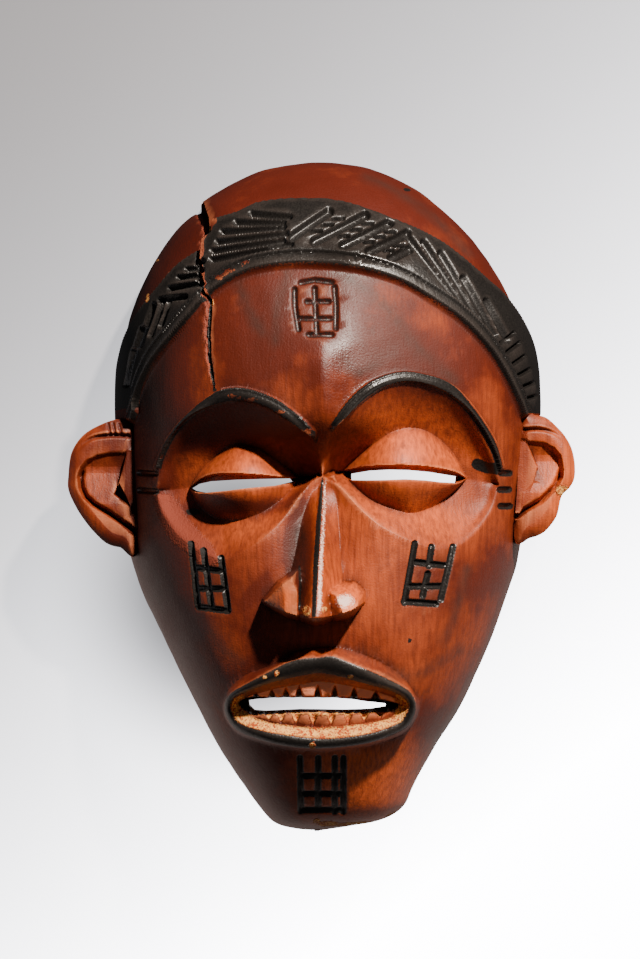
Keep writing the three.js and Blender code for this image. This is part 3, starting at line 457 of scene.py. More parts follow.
def crack_relief(x, y):
    """A narrow V cut along the line, with a rough ledge torn out of its left side."""
    side, opening, torn = crack_place(x, y)
    deep = np.interp(y, [33, 45, 70, 100, 118], [0, 3, 6, 8, 10])
    cut = deep * np.clip(1 - np.abs(side) / np.maximum(opening, 0.05), 0, 1) * (opening > 0.1)
    ledge = ease((side + opening + torn) / 0.5) * ease((0.3 - side) / 0.4) * (torn > 0.1)
    ledge = ledge * (0.9 + 0.5 * ragged(y, 0.7, 5) + 0.3 * ragged(side * 1.7 + y * 0.2, 0.6, 6))
    return -np.maximum(cut, ledge)


def sunk(x, y):
    """The shift of the fragment left of the crack, fading away from it and down the forehead."""
    side = crack_place(x, y)[0]
    share = ease(-side / 0.8) * np.exp(-np.clip(-side, 0, 99) / 14) * ease((y - 62) / 34)
    return share[..., None] * np.array([0.6, -3.4, -1.2])


# The mesh of the head: a square grid whose rings are laid on the outline, drawn in
# towards the middle, then a wall down to the flat rim that the mask lies on.
WAVE_HIGH = 0.3


def waves(x, y, size, seed):
    """Smooth uneven surface: six sine waves of about the given length, in directions drawn from the seed."""
    draw = np.random.default_rng(seed)
    total = np.zeros_like(x)
    turns, starts, lengths = draw.uniform(0, 6.28, 6), draw.uniform(0, 6.28, 6), size * draw.uniform(0.7, 1.5, 6)
    for turn, start, length in zip(turns, starts, lengths):
        total = total + np.sin(6.28 * (x * np.cos(turn) + y * np.sin(turn)) / length + start)
    return total / 6


def vault_grid(centre, reach, steps, edge_steps):
    """Plan of a vault: the grid's square rings become copies of the outline, closer together near its edge."""
    half = np.concatenate([np.linspace(0, 0.94, steps, endpoint=False),
                           1 - 0.06 * (1 - np.linspace(0, 1, edge_steps)) ** 2])
    ticks = np.concatenate([-half[:0:-1], half])
    a, b = np.meshgrid(ticks, ticks)
    angle = np.arctan2(b, a)
    rho = np.maximum(np.abs(a), np.abs(b)) * reach(angle)
    return centre[0] + rho * np.cos(angle), centre[1] + rho * np.sin(angle)


def border_of(n):
    """Indices of an n by n grid's border points, anticlockwise."""
    grid = np.arange(n * n).reshape(n, n)
    return np.concatenate([grid[0, :-1], grid[:-1, -1], grid[-1, :0:-1], grid[:0:-1, 0]])


def closed_vault(top, wall):
    """Triangles of a closed body: the top grid, the wall's rings below its border, and a fan that closes the foot."""
    n = top.shape[0]
    cell = (np.arange(n - 1)[:, None] * n + np.arange(n - 1)).ravel()
    quads = [np.column_stack([cell, cell + 1, cell + n + 1, cell + n])]
    loop = border_of(n)
    count = len(loop)
    rows = [loop] + [n * n + k * count + np.arange(count) for k in range(len(wall))]
    for above, under in zip(rows[:-1], rows[1:]):
        quads.append(np.column_stack([under, np.roll(under, -1), np.roll(above, -1), above]))
    quads = np.vstack(quads)
    points = np.vstack([top.reshape(-1, 3), wall.reshape(-1, 3), wall[-1].mean(axis=0)[None]])
    fan = np.column_stack([np.roll(rows[-1], -1), rows[-1], np.full(count, len(points) - 1)])
    return points, np.vstack([quads[:, [0, 1, 2]], quads[:, [0, 2, 3]], fan])


def in_scene(name, data):
    """A new object of a mesh, light or camera, linked to the scene."""
    piece = bpy.data.objects.new(name, data)
    bpy.context.scene.collection.objects.link(piece)
    return piece


def mesh_object(name, points, triangles):
    """A Blender object from points in millimetres and triangles, with its place in its mesh."""
    mesh = bpy.data.meshes.new(name)
    mesh.vertices.add(len(points))
    mesh.vertices.foreach_set("co", ((points - CENTRE) / 1000).astype(np.float32).ravel())
    mesh.loops.add(3 * len(triangles))
    mesh.loops.foreach_set("vertex_index", triangles.astype(np.int32).ravel())
    mesh.polygons.add(len(triangles))
    mesh.polygons.foreach_set("loop_start", np.arange(0, 3 * len(triangles), 3, dtype=np.int32))
    mesh.update(calc_edges=True)
    return in_scene(name, mesh)


x, y = vault_grid(MIDDLE, head_reach, 270, 30)
plain = np.dstack([x, y, dome(x, y)])
normal = np.cross(np.gradient(plain, axis=1), np.gradient(plain, axis=0))
normal /= np.maximum(np.linalg.norm(normal, axis=2, keepdims=True), 1e-9)
z = plain[..., 2]
for eye in (RIGHT_EYE, LEFT_EYE):
    z = carve_eye(x, y, z, eye)
z = carve_mouth(x, y, carve_nose(x, y, z))
carved = np.dstack([x, y, z])

flat_x, flat_y, flat_z = (plain[..., k].ravel() for k in range(3))
relief = band_relief(flat_x, flat_y, flat_z, (plain + BAND_PROUD * normal).reshape(-1, 3))
for eye, brow_top in BROWS:
    near = np.flatnonzero((flat_y > -2) & (flat_y < 46) & (np.abs(flat_x) < 76) & (flat_x * brow_top[-1][0] > -90))
    relief[near] += brow_relief(flat_x[near], flat_y[near], eye, brow_top)
near = np.flatnonzero((np.abs(flat_x) < 76) & (flat_y < 80))
groove = np.zeros_like(relief)
groove[near] = ease((STROKE_WIDE - cut_distance(flat_x[near], flat_y[near], STROKES)) / 1.2)
relief = relief - STROKE_DEEP * groove + crack_relief(flat_x, flat_y)
relief = relief + WAVE_HIGH * waves(flat_x, flat_y, 26, 3) + 0.1 * waves(flat_x, flat_y, 8, 5)
top = carved + relief.reshape(x.shape)[..., None] * normal
top += sunk(x, y)

edge = plain.reshape(-1, 3)[border_of(x.shape[0])]
run = np.roll(edge, -1, 0) - np.roll(edge, 1, 0)
edge_normal = np.column_stack([run[:, 1], -run[:, 0], 0 * run[:, 0]]) / np.hypot(run[:, 0], run[:, 1])[:, None]
wall = []
for share in np.linspace(0, 1, 15)[1:]:
    ring = edge * [1, 1, 1 - share]
    lift = band_relief(*ring.T, ring + BAND_PROUD * edge_normal)
    lift += WAVE_HIGH * waves(ring[:, 0] + ring[:, 2], ring[:, 1], 26, 3)
    wall.append(ring + lift[:, None] * edge_normal + sunk(ring[:, 0], ring[:, 1]) * [1, 1, 0])
head = mesh_object("pwo_mask", *closed_vault(top, np.array(wall)))


# The ears: slabs on the sides with a rounded rim, a step along its top, a groove
# inside it, a swelling bowl and a flat strip along the cheek. Cut in one with the head.
EAR_FRONT, EAR_BACK = 53.0, 16.0
EARS = [
    dict(centre=(-80.0, -1.0),
         outline=[(-71, 24), (-74.3, 24), (-80.2, 23.3), (-86, 21.2), (-91.5, 18), (-95.2, 13.8), (-97.3, 9),
                  (-98.1, 2), (-98.1, -4), (-95, -11), (-91, -17), (-87, -21.6), (-83, -25), (-78.2, -26.4),
                  (-71, -26.4)],
         bowl=[(-71, 11.5), (-75.5, 11.5), (-82, 11.2), (-87.2, 10.2), (-91.4, 7.9), (-93.8, 5), (-94.9, 1),
               (-94.4, -3.7), (-92.4, -7.6), (-89.2, -10.6), (-82.1, -14.9), (-73.2, -21.2), (-70, -22)],
         step=[(-74.5, 16.8), (-79, 17.1), (-84, 16.9), (-89, 15.9), (-93.4, 12.9), (-99, 7)],
         strip=[(-70, 12), (-75, 11.2), (-76.6, 4), (-78.6, -2.4), (-74, -10.2), (-73, -18), (-70, -20)],
         pits=[[(-78.2, -1.8), (-80.3, -5.8), (-74.2, -10.2), (-75.6, -6.6)]],
         ticks=[[(-82.6, 21.4), (-81.6, 17.8)], [(-80.6, 21.6), (-79.8, 17.8)], [(-78.4, 21.4), (-77.4, 18)]]),
    dict(centre=(86.0, 2.0),
         outline=[(78, 25.6), (84, 25.2), (88.4, 24), (92.5, 20.4), (95.5, 17), (98, 12.5), (99.3, 7), (99.3, 1),
                  (97.5, -3), (94.2, -6.6), (92.4, -14), (89, -19), (86, -21.4), (82, -22.8), (76, -23.7), (77, 0)],
         bowl=[(76, 16), (80.2, 15.8), (87.2, 15.2), (91.6, 12.9), (94.2, 9.6), (95.2, 5), (94.8, 0.8),
               (92.7, -3.4), (87.2, -9.2), (80.6, -13), (77.2, -16), (75, -16)],
         step=[(79.8, 19.2), (84, 19.6), (88.4, 19), (93.2, 16.9), (100, 11)],
         strip=[(76, 16), (80.4, 14.4), (82.4, 9.4), (84.4, 4.6), (82.8, -1.6), (80.4, -8), (77.6, -13), (75, -13)],
         pits=[], ticks=[]),
]


def ear_front(x, y, ear):
    """Slab, rounded over its outer 5 mm. The bowl sinks 3.9 mm below its upper edge and swells up towards the
    lobe, with a narrow groove round its lower side; the strip stands at the slab's level, beside the pit."""
    outline = smooth_line(ear["outline"], closed=True, steps=4)
    bowl = mm_inside(x, y, np.array(ear["bowl"]))
    strip = mm_inside(x, y, np.array(ear["strip"]))
    rim = mm_inside(x, y, outline)
    level = EAR_FRONT - 2.6 * (1 - np.clip(rim / 5, 0, 1)) ** 2
    brow_of_bowl = max(py for _, py in ear["bowl"])
    sunken = EAR_FRONT - np.interp(brow_of_bowl - y, [0, 6.5, 9, 21], [0.8, 3.8, 3.9, 0.2]) * ease(bowl / 2.2)
    sunken = sunken - 4.2 * bell(bowl - 1.3, 1.0) * ease((5 - y) / 4)
    level = np.where(bowl > 0, sunken, level)
    step = smooth_line(ear["step"], steps=4)
    groove = 1.5 * bell(line_near(x, y, step), 0.7) - 0.5 * bell(line_near(x, y - 1.5, step), 0.9)
    level = level - groove * ease((97 - np.abs(x)) / 13)
    for tick in ear["ticks"]:
        level = level - 0.8 * bell(line_near(x, y, tick), 0.55)
    level = np.maximum(level, np.where(strip > -0.9, EAR_FRONT - 0.3 - 4.5 * ease(-strip / 0.9), 0))
    for pit in ear["pits"]:
        level = level - 5 * ease((mm_inside(x, y, np.array(pit)) + 0.3) / 0.9)
    return level


ears = []
for ear in EARS:
    centre = np.array(ear["centre"])
    x, y = vault_grid(centre, reach_of(ear["outline"], centre), 80, 12)
    top = np.dstack([x, y, ear_front(x, y, ear)])
    edge = top.reshape(-1, 3)[border_of(x.shape[0])]
    wall = []
    for share in np.linspace(0, 1, 13)[1:]:
        drawn_in = 1 - 0.4 * ease((share - 0.45) / 0.55)
        level = edge[:, 2] + (EAR_BACK - edge[:, 2]) * share
        wall.append(np.column_stack([centre + (edge[:, :2] - centre) * drawn_in, level]))
    ears.append(mesh_object("ear", *closed_vault(top, np.array(wall))))


# The hollow: the block is dug out from behind with a curved adze, which leaves
# rows of shallow scoops. The slits of the eyes and the mouth go right through.
RIM, WALL, EYE_BUMP = 9.0, 12.0, 18.0
SCOOP = (11.0, 15.0)


def scoops(x, y):
    """Distance squared to the nearest of a jittered lattice of adze blows, as a depth of up to a millimetre."""
    draw = np.random.default_rng(11).uniform(-0.3, 0.3, (64, 64, 2))
    column, row = np.floor(x / SCOOP[0]).astype(int), np.floor(y / SCOOP[1]).astype(int)
    nearest = np.full(x.shape, 99.0)
    for i in (-1, 0, 1):
        for j in (-1, 0, 1):
            jitter = draw[(column + i) % 64, (row + j) % 64]
            away_x = x / SCOOP[0] - (column + i + 0.5 + jitter[..., 0])
            away_y = y / SCOOP[1] - (row + j + 0.5 + jitter[..., 1])
            nearest = np.minimum(nearest, away_x**2 + away_y**2)
    return 1.6 * np.minimum(nearest, 0.6)


x, y = vault_grid(MIDDLE, lambda angle: head_reach(angle) - RIM, 90, 12)
far = head_reach(np.arctan2(y - MIDDLE[1], x - MIDDLE[0]))
wider = far / (far - RIM)
bumps = sum(bell(x - bx, 32) * bell(y - by, 24) for bx, by in ((34, 3), (-28, 0)))
skin = dome(MIDDLE[0] + (x - MIDDLE[0]) * wider, MIDDLE[1] + (y - MIDDLE[1]) * wider)
top = np.dstack([x, y, skin - WALL - EYE_BUMP * np.minimum(bumps, 1.1) - scoops(x, y)])
edge = top.reshape(-1, 3)[border_of(x.shape[0])]
hollow = mesh_object("hollow", *closed_vault(top, np.array([edge * [1, 1, 0.5], edge * [1, 1, 0] - [0, 0, 2]])))


def prism(name, points, low, high):
    """A straight cut: the closed line at two heights, joined by a wall and closed by fans."""
    line = np.array(points, float)
    count = len(line)
    if np.sum(line[:, 0] * np.roll(line[:, 1], -1) - np.roll(line[:, 0], -1) * line[:, 1]) < 0:
        line = line[::-1]
    middle = line.mean(axis=0)
    corners = np.vstack([np.column_stack([line, np.full(count, level)]) for level in (low, high)]
                        + [[*middle, low], [*middle, high]])
    i = np.arange(count)
    j = np.roll(i, -1)
    faces = np.vstack([np.column_stack([i, j, j + count]), np.column_stack([i, j + count, i + count]),
                       np.column_stack([j, i, np.full(count, 2 * count)]),
                       np.column_stack([i + count, j + count, np.full(count, 2 * count + 1)])])
    return mesh_object(name, corners, faces)


def settled(piece):
    """Puts what an object's modifiers make of its mesh in the mesh's place."""
    mesh = bpy.data.meshes.new_from_object(piece.evaluated_get(bpy.context.evaluated_depsgraph_get()))
    piece.modifiers.clear()
    piece.data = mesh
    return mesh


cutters = [hollow] + [prism("slot", line, 20, 140) for line in (SLOT, RIGHT_EYE["slit"], LEFT_EYE["slit"])]
for piece in ears + cutters:
    join = head.modifiers.new(piece.name, "BOOLEAN")
    join.object, join.operation, join.solver = piece, "UNION" if piece in ears else "DIFFERENCE", "MANIFOLD"
body = settled(head)
for piece in ears + cutters:
    bpy.data.objects.remove(piece)

# The surface: flat stretches keep fewer faces than the carving does, and an edge is
# left crisp where two faces meet at more than the sharp angle.
FACES, SHARP = 190000, 55
thin = head.modifiers.new("thin", "DECIMATE")
thin.ratio = FACES / len(body.polygons)
body = settled(head)
body.polygons.foreach_set("use_smooth", np.ones(len(body.polygons), dtype=bool))
body.set_sharp_from_angle(angle=np.radians(SHARP))


# The paint and its wear: soot black on band, brows, lips and marks, and earth rubbed thin by hands on eyes, ears,
# nose and chin. Some ovals and coats paint light and shade as well: earth made lighter or darker where light or shade
# falls, whitish highlights by the nose and black along a shaded groove. Paint is kept in the mesh as millimetres
# inside its edge, wear as shares. An oval is a middle, two half widths and an amount.
STAINS = [
    [(6, 79), (14, 75), (22.9, 68.4), (30.5, 58.9), (36.2, 51.3), (44, 44), (51.6, 38)],
    [(26, -74.6), (33, -75.4), (42.3, -72.5), (48, -69), (54.2, -66)],
    [(-31, 74), (-26, 62), (-22, 56)], [(-12.5, 78), (-16, 66), (-17, 52)], [(9, 46), (13, 40), (22, 44)],
    [(-66, 44), (-62, 20), (-60, 10)], [(-46, -52), (-38, -64), (-30, -70)], [(56, -34), (52, -52), (47, -62)],
    [(18, 118), (30, 112), (44, 102), (58, 88)],
]
SCUFF = [(-64.2, -5.4), (-58, -5.6), (-53.4, -10.6), (-51.6, -14.6), (-47, -19.4), (-41.6, -24.6), (-38.6, -31.6),
         (-42, -33.4), (-46, -32.6), (-50, -28.6), (-56.4, -25), (-61.4, -17.6), (-64.2, -10)]
BLACK_PATCHES = [(-48.9, -12.4, 3.0, 1.5), (-64.5, 88.8, 1.0, 2.0), (34.1, -61.4, 1.1, 1.1), (34.1, 113.4, 1.6, 0.9)]
# The first is a black smudge by the right eye; the second is painted shade, black along the groove at the foot of the
# nose's left flank.
BLACK_AND_SHADE_LINES = [(45, 2.3, [(60.6, 6), (64, 4.6), (68.6, 4)]),        # by the height they lie above, and half width
               (80, 0.6, [(-7.9, -49), (-7.5, -38), (-7.9, -33)])]
RAW_PATCHES = [(-63.9, 85.9, 0.9, 0.9), (-67.1, 70.8, 1.0, 2.4), (41.2, 109.6, 1.3, 0.8), (-42.8, 96.8, 0.6, 1.4),
               (-41.2, 67.6, 0.7, 1.6), (71.9, -48.6, 0.8, 1.4), (-21, -75.2, 1.0, 1.0), (-16.4, -73.9, 1.1, 1.7),
               (11.5, -75, 1.4, 0.9), (-2.9, -101.6, 1.5, 1.6), (94.4, -4.2, 3.0, 2.4), (-5.0, -49.6, 1.8, 2.3),
               (1.6, -49.4, 1.6, 1.7), (3, -134, 4.4, 1.5), (16, -134.4, 11, 1.4), (29, -131.6, 3.4, 1.6),
               (-1.2, -132.6, 1.6, 1.4)]
CHIPS = [(-33.6, 31.8, 1.6, 0.8), (-31, 31, 1.2, 0.7), (-27, 30.2, 2.8, 1.0), (-15, 25.6, 2.2, 0.7),
         (-4.4, 18.4, 1.8, 1.2), (-38.7, 77.3, 1.8, 1.1), (-34.4, 80, 2.4, 0.9), (-28.4, 83, 1.8, 0.8)]
# Painted highlights: a whitish glint on the right nose wing's facet, as an oval.
PAINTED_HIGHLIGHTS = [(9.6, -46, 3.8, 2.8)]
# Most of these ovals are wear, but some paint light and shade: the upper teeth (0, -80) and the right socket's upper
# plane (34, 26) are lightened as painted light; the nose's left flank (-8, -28), both lower lids and the left
# socket's upper plane (-34, 20) are darkened as painted shade; the left of forehead and cap (-66, 58) and (-52, 100)
# are darker partly as wear and partly as painted shade, and the left ear is lightened less than the right, partly as
# painted shade.
WEAR_AND_PAINTED_LIGHT = [(36, 6, 36, 26, 1), (44, -20, 30, 14, 0.48), (-30, 0, 32, 24, 1), (-90, 0, 15, 34, 0.5),
           (92, 0, 15, 34, 1.1), (6, -38, 28, 32, 0.45), (20, -116, 30, 18, 1.5), (34, -62, 54, 40, 0.3),
           (-40, -60, 40, 44, 0.15), (66, 40, 18, 40, 0.12), (-44, 44, 14, 26, 0.2), (0, -80, 30, 5, 1.4),
           (-66, 58, 15, 50, -0.9), (-52, 100, 16, 20, -1.0), (-8, -28, 5, 24, -1.3), (-60, -50, 20, 60, -0.4),
           (-31, -9.5, 22, 6, -1.0), (36, -6.5, 24, 6, -0.3), (-36, -6.5, 20, 5, 0.3), (-12, -44, 5, 7, 1.2),
           (10, -45, 5, 5, 1.2), (-34, 20, 30, 9, -0.8), (34, 26, 24, 8, 0.3)]
POLISHED = [(7, 46, 9, 30, 1), (14, 86, 26, 8, 1), (17, 34, 12, 8, 1), (0, -26, 6, 34, 1), (40, 5, 22, 2.6, 0.5),
            (38, 12, 20, 5, -0.5), (11, -46, 7, 5, 1), (-12, -44, 6, 6, 0.6), (40, 60, 27, 27, -0.8)]
NOSE_STRIP = [(-51.5, -3.3, -1.4), (-32, -2.7, -0.4), (-16, -1.6, 0.7), (0.5, 0.4, 1.5)]    # y, left and right edge
OUTSIDE = -9.0
count = len(body.vertices)
flat = np.empty(count * 3, dtype=np.float32)
body.vertices.foreach_get("co", flat)
points = flat.reshape(-1, 3).astype(float) * 1000 + CENTRE
body.vertex_normals.foreach_get("vector", flat)
facing = flat.reshape(-1, 3).astype(float)
pairs = np.empty(2 * len(body.edges), dtype=np.int32)
body.edges.foreach_get("vertices", pairs)
start, end = pairs.reshape(-1, 2).T
step = points[end] - points[start]
length = np.maximum(np.linalg.norm(step, axis=1), 1e-6)
links = np.bincount(start, minlength=count) + np.bincount(end, minlength=count)


def spread(at_start, at_end):
    """The mean over each vertex's edges of a value given for either end of every edge."""
    return (np.bincount(start, at_start, count) + np.bincount(end, at_end, count)) / links


convex = spread(-np.sum(step * facing[start], axis=1) / length, np.sum(step * facing[end], axis=1) / length)
for _ in range(3):      # softened by its neighbours, so that single faces don't show
    convex = 0.4 * convex + 0.6 * spread(convex[end], convex[start])

x, y, z = points.T
reach = head_reach(np.arctan2(y - MIDDLE[1], x - MIDDLE[0]))
rho = np.hypot(x - MIDDLE[0], y - MIDDLE[1])
# What is inside the hollow or on the flat rim, and what belongs to the ears' slabs.
hidden = ((rho < reach - RIM + 0.5) & (facing[:, 2] < 0.1) & (z < dome(x, y) - 6)) | (z < 0.05)
on_ear = (y < np.where(x > 0, 25.8, 26.6)) & (y > -28) & (z > 15) & (z < EAR_FRONT + 1.5) & (rho > reach - 12)


def above(level, value):
    """The value where the surface is higher than the level, and far outside elsewhere."""
    return np.where(z > level, value, OUTSIDE)


def patches(ovals):
    """One less the distance from the nearest middle as a share of the half widths: 1 there and 0 on the oval."""
    return np.max([1 - np.hypot((x - px) / rx, (y - py) / ry) for px, py, rx, ry in ovals], axis=0)


def oval_sum(ovals):
    """The sum of each oval's amount times a bell of that share."""
    return sum(amount * bell(np.hypot((x - px) / rx, (y - py) / ry), 0.8) for px, py, rx, ry, amount in ovals)


low, top = band_place(x, y, z)
ends = np.where(on_ear | hidden, OUTSIDE, y - (np.where(x < 0, *BAND_ENDS) + 1))
black = np.minimum.reduce([low + 0.4, top + 0.3, ends])
near = np.flatnonzero((y > -3) & (y < 46) & (np.abs(x) < 76) & (z > 40))
for eye, brow_top in BROWS:
    inside, under = brow_place(x[near], y[near] - 0.4, eye, brow_top)
    below = (inside > 0) | (under < -1.6)
    black[near] = np.maximum(black[near], np.where(below, np.minimum(inside + 0.8, np.abs(under)), -1) + 0.2)

near = np.flatnonzero((np.abs(x) < 80) & (y < 80) & (z > 20))
strokes = np.full(count, 99.0)
strokes[near] = cut_distance(x[near], y[near], STROKES)
on_marks = np.minimum(np.where(y > 50, 1.2, 1.5) - strokes, np.where(y > 50, 0.2, 9))
strip_y, *strip_edges = zip(*NOSE_STRIP)
strip_left, strip_right = (np.interp(y, strip_y, strip_edge) for strip_edge in strip_edges)
on_strip = np.minimum.reduce([x - strip_left, strip_right - x, y + 52, 1 - y])
# Painted highlight: a whitish strip just right of the nose's black ridge.
highlight_beside_strip = np.minimum.reduce([x - strip_right, strip_right + 1.0 - 0.02 * y - x, y + 51, -y])

rho, angle, reach = mouth_place(x, y)
cut = notches(x, y)
is_lower, in_gum = np.sin(angle) < 0.02, rho < reach[3] + 0.4
black = np.maximum.reduce([black, on_marks, on_strip, np.minimum(reach[1] - rho, rho - reach[2])])
side, opening, torn = crack_place(x, y)
black = np.where((y > 33) & (y < 70) & (np.abs(side) < 0.4 + opening), np.maximum(black, 1.2 - np.abs(side)), black)
black = np.where((y > 70) & (side < 0.1) & (side > -opening - torn), -1, black)
black = np.maximum.reduce([black, 2 * np.minimum(reach[4] - rho, np.abs(x) - 24.5),
                           # Black painted in the upper notches between the teeth stands in for their shade.
                           above(60, np.where(~is_lower & in_gum, 2.2 * (cut - 0.55), OUTSIDE)),
                           above(15, 2.5 * patches(BLACK_PATCHES)),
                           *[above(level, half - line_near(x, y, line)) for level, half, line in BLACK_AND_SHADE_LINES]])
# Painted light on the upper teeth, which the upper lip shades: a salmon coat between the notches.
upper_teeth_painted_light = np.minimum.reduce([rho - reach[4] - 0.2, reach[3] + 0.2 - rho, 0.7 - 2 * cut])
raw = np.maximum.reduce([
    np.where(np.sin(angle) < 0.1, np.minimum(reach[2] - rho + 0.2, rho - reach[3] + 1.0), OUTSIDE),
    np.minimum.reduce([reach[2] - rho + 0.3, np.abs(x) - 28.5, rho - reach[4] - 0.4]),
    np.where(in_gum, 2.2 * (cut - np.where(is_lower, 0.35, 2)), OUTSIDE),
    np.where((rho > reach[4] - 0.5) & is_lower, 1.2 - (rho - reach[4]), OUTSIDE),
    above(15, 2.5 * patches(RAW_PATCHES)),
])
near = np.flatnonzero((y > -36) & (y < -2) & (x < -34) & (z > 40))
scuffed = np.full(count, OUTSIDE)
scuffed[near] = mm_inside(x[near], y[near], np.array(SCUFF))

# Handling hasn't brightened the marks' edges or the nose's ridge, and no grime lies on the upper teeth.
nose_ridge = (z > 86) & (y < 1) & (y > -52) & (np.abs(x + 3) < 4)
convex = np.where((strokes < 3.2) | nose_ridge, np.minimum(convex, 0.06), convex)
convex = np.where((rho < reach[3] + 0.3) & (rho > reach[4]) & (np.sin(angle) > 0), np.maximum(convex, 0.01), convex)
regions = dict(
    black=black, raw=raw, scuffed=scuffed, chips=patches(CHIPS),
    # Painted highlights beside the nose's strip and on the right wing.
    painted_highlight=above(60, np.maximum(highlight_beside_strip, 1.5 * patches(PAINTED_HIGHLIGHTS))),
    # Where light is painted on the upper teeth.
    teeth=above(60, np.where(is_lower, OUTSIDE, upper_teeth_painted_light)),
    stain=np.clip(sum(bell(line_near(x, y, smooth_line(line, steps=4)), 2.2) for line in STAINS) * (z > 15), 0, 1),
    torn=0.8 * ((side < 0.2) & (side > -opening - torn - 0.3) & (y > 36) & (y < 118) & (z > 22)),
    cap=ease((-top + 1.5) / 2) * ease((y - 20) / 10),
    # Wear, and in places painted light and shade.
    wear_and_painted_light=np.clip(oval_sum(WEAR_AND_PAINTED_LIGHT), -0.6, 1.2),
    polished=np.clip(oval_sum(POLISHED), -0.7, 1) * (z > 60) * ease(strokes / 3 - 0.5),
    convex=convex, hidden=hidden,
)
for name, values in regions.items():
    body.attributes.new(name, "FLOAT", "POINT").data.foreach_set("value", values.astype(np.float32))


# The finish: red earth rubbed into oiled, scraped wood, deep brown where it is thick and orange where hands have worn
# it, with a low polish; the same thick and thin earth also darkens painted shade and lightens painted light. Black is
# soot bound with oil, a little shinier and greyed by dust. Bare wood is pale and dull, brown inside with age.
def linear(code):
    """An sRGB hex colour as linear red, green and blue."""
    part = [int(code[i:i + 2], 16) / 255 for i in (0, 2, 4)]
    return [c / 12.92 if c <= 0.04045 else ((c + 0.055) / 1.055) ** 2.4 for c in part] + [1.0]


def add_node(material, kind, inputs=None, pick=0, **settings):
    """Adds a node with its properties, gives each named or numbered input its link or its constant, and returns the
    picked output."""
    node = material.node_tree.nodes.new("ShaderNode" + kind)
    for name, value in settings.items():
        setattr(node, name, value)
    for key, value in (inputs or {}).items():
        if isinstance(value, bpy.types.NodeSocket):
            material.node_tree.links.new(value, node.inputs[key])
        else:
            node.inputs[key].default_value = value
    return node.outputs[pick] if node.outputs else None


wood = bpy.data.materials.new("red_earth_on_wood")
wood.use_nodes = True
wood.node_tree.nodes.clear()
region = {name: add_node(wood, "Attribute", pick="Fac", attribute_name=name) for name in regions}
place = add_node(wood, "TexCoord", pick="Object")
along = add_node(wood, "Mapping", {"Vector": place, "Rotation": (0, 0, 0.06), "Scale": (1.0, 0.09, 0.6)})
across = add_node(wood, "Mapping", {"Vector": place, "Rotation": (0, 0, 0.9), "Scale": (1.0, 0.12, 1.0)})
# Cells per metre: rubbed patches of 30 mm and 8 mm, splinters of 4 mm, the wood's
# fibres and the scraper's lines, 1.3 mm and 0.9 mm wide and some ten times as long, and
# grit of 0.7 mm. The last three are 0.2 to 0.4 mm in truth and drawn coarser to show.
mottle, blotch, splinter, grain, scraped, fine = (
    add_node(wood, "TexNoise", {"Vector": way, "Scale": cells, "Detail": detail, "Roughness": rough,
                                "Distortion": bent})
    for way, cells, detail, rough, bent in (
        (place, 32, 4, 0.6, 0), (place, 130, 3, 0.5, 0), (place, 240, 3, 0.5, 1.2),
        (along, 760, 4, 0.5, 0.4), (across, 1100, 2, 0.5, 0), (place, 1400, 2, 0.5, 0)))

worn = add_node(wood, "MapRange", {0: region["convex"], 1: 0.05, 2: 0.22})
grimy = add_node(wood, "MapRange", {0: region["convex"], 1: -0.03, 2: -0.2})
uneven = add_node(wood, "Math", {0: mottle, 1: 1.5, 2: -0.72}, operation="MULTIPLY_ADD")
# Wear, with the painted light and shade of some ovals in it; thick and thin below follow it.
rubbed = add_node(wood, "Math", {0: region["wear_and_painted_light"], 1: uneven}, operation="ADD")
frayed = add_node(wood, "Math", {0: fine, 1: 2.4, 2: -1.2}, operation="MULTIPLY_ADD")
thick, thin, fibres, dark = (
    add_node(wood, "MapRange", {0: share, 1: low, 2: high, 4: most})
    for share, low, high, most in (
        (rubbed, -0.7, 0.25, 1.0), (rubbed, 0.1, 1.2, 1.0), (grain, 0.38, 0.7, 0.55), (blotch, 0.58, 0.78, 0.5)))
edges, deep, capped, dusty, sooty, is_torn = (
    add_node(wood, "Math", {0: share, 1: amount}, operation="MULTIPLY")
    for share, amount in ((worn, 0.7), (grimy, 0.75), (region["cap"], 0.5), (worn, 0.2), (region["stain"], blotch),
                          (region["torn"], fine)))
# The last of these is a painted highlight, whitish beside the nose's strip and on a wing.
is_scuffed, is_bare, chipped, painted_highlight_share = (
    add_node(wood, "MapRange", {0: add_node(wood, "Math", {0: region[name], 1: frayed}, operation="ADD"),
                                1: low, 2: high, 4: most})
    for name, low, high, most in (
        ("scuffed", -0.4, 0.6, 0.85), ("raw", 0.0, 0.6, 1.0), ("chips", 0.1, 0.3, 1.0), ("painted_highlight", 0.0, 0.7, 0.85)))
# Painted light: the upper teeth are lightened to salmon, though the upper lip shades them.
painted_light_on_teeth = add_node(wood, "MapRange", {0: region["teeth"], 1: 0.0, 2: 0.5, 4: 0.9})

# Black stays where it is neither rubbed off the edges nor chipped.
soft_edge = add_node(wood, "Math", {0: frayed, 1: 0.35, 2: region["black"]}, operation="MULTIPLY_ADD")
painted = add_node(wood, "MapRange", {0: soft_edge, 1: -0.05, 2: 0.3})
flaking = add_node(wood, "Math", {0: splinter, 1: 0.45, 2: blotch}, operation="MULTIPLY_ADD")
flaking = add_node(wood, "Math", {0: worn, 1: flaking}, operation="MULTIPLY")
flaking = add_node(wood, "MapRange", {0: flaking, 1: 0.76, 2: 0.84, 4: 0.8})
gone = add_node(wood, "Math", {0: flaking, 1: chipped}, operation="MAXIMUM")
kept = add_node(wood, "Math", {0: 1.0, 1: gone}, operation="SUBTRACT")
is_black = add_node(wood, "Math", {0: painted, 1: kept}, operation="MULTIPLY")

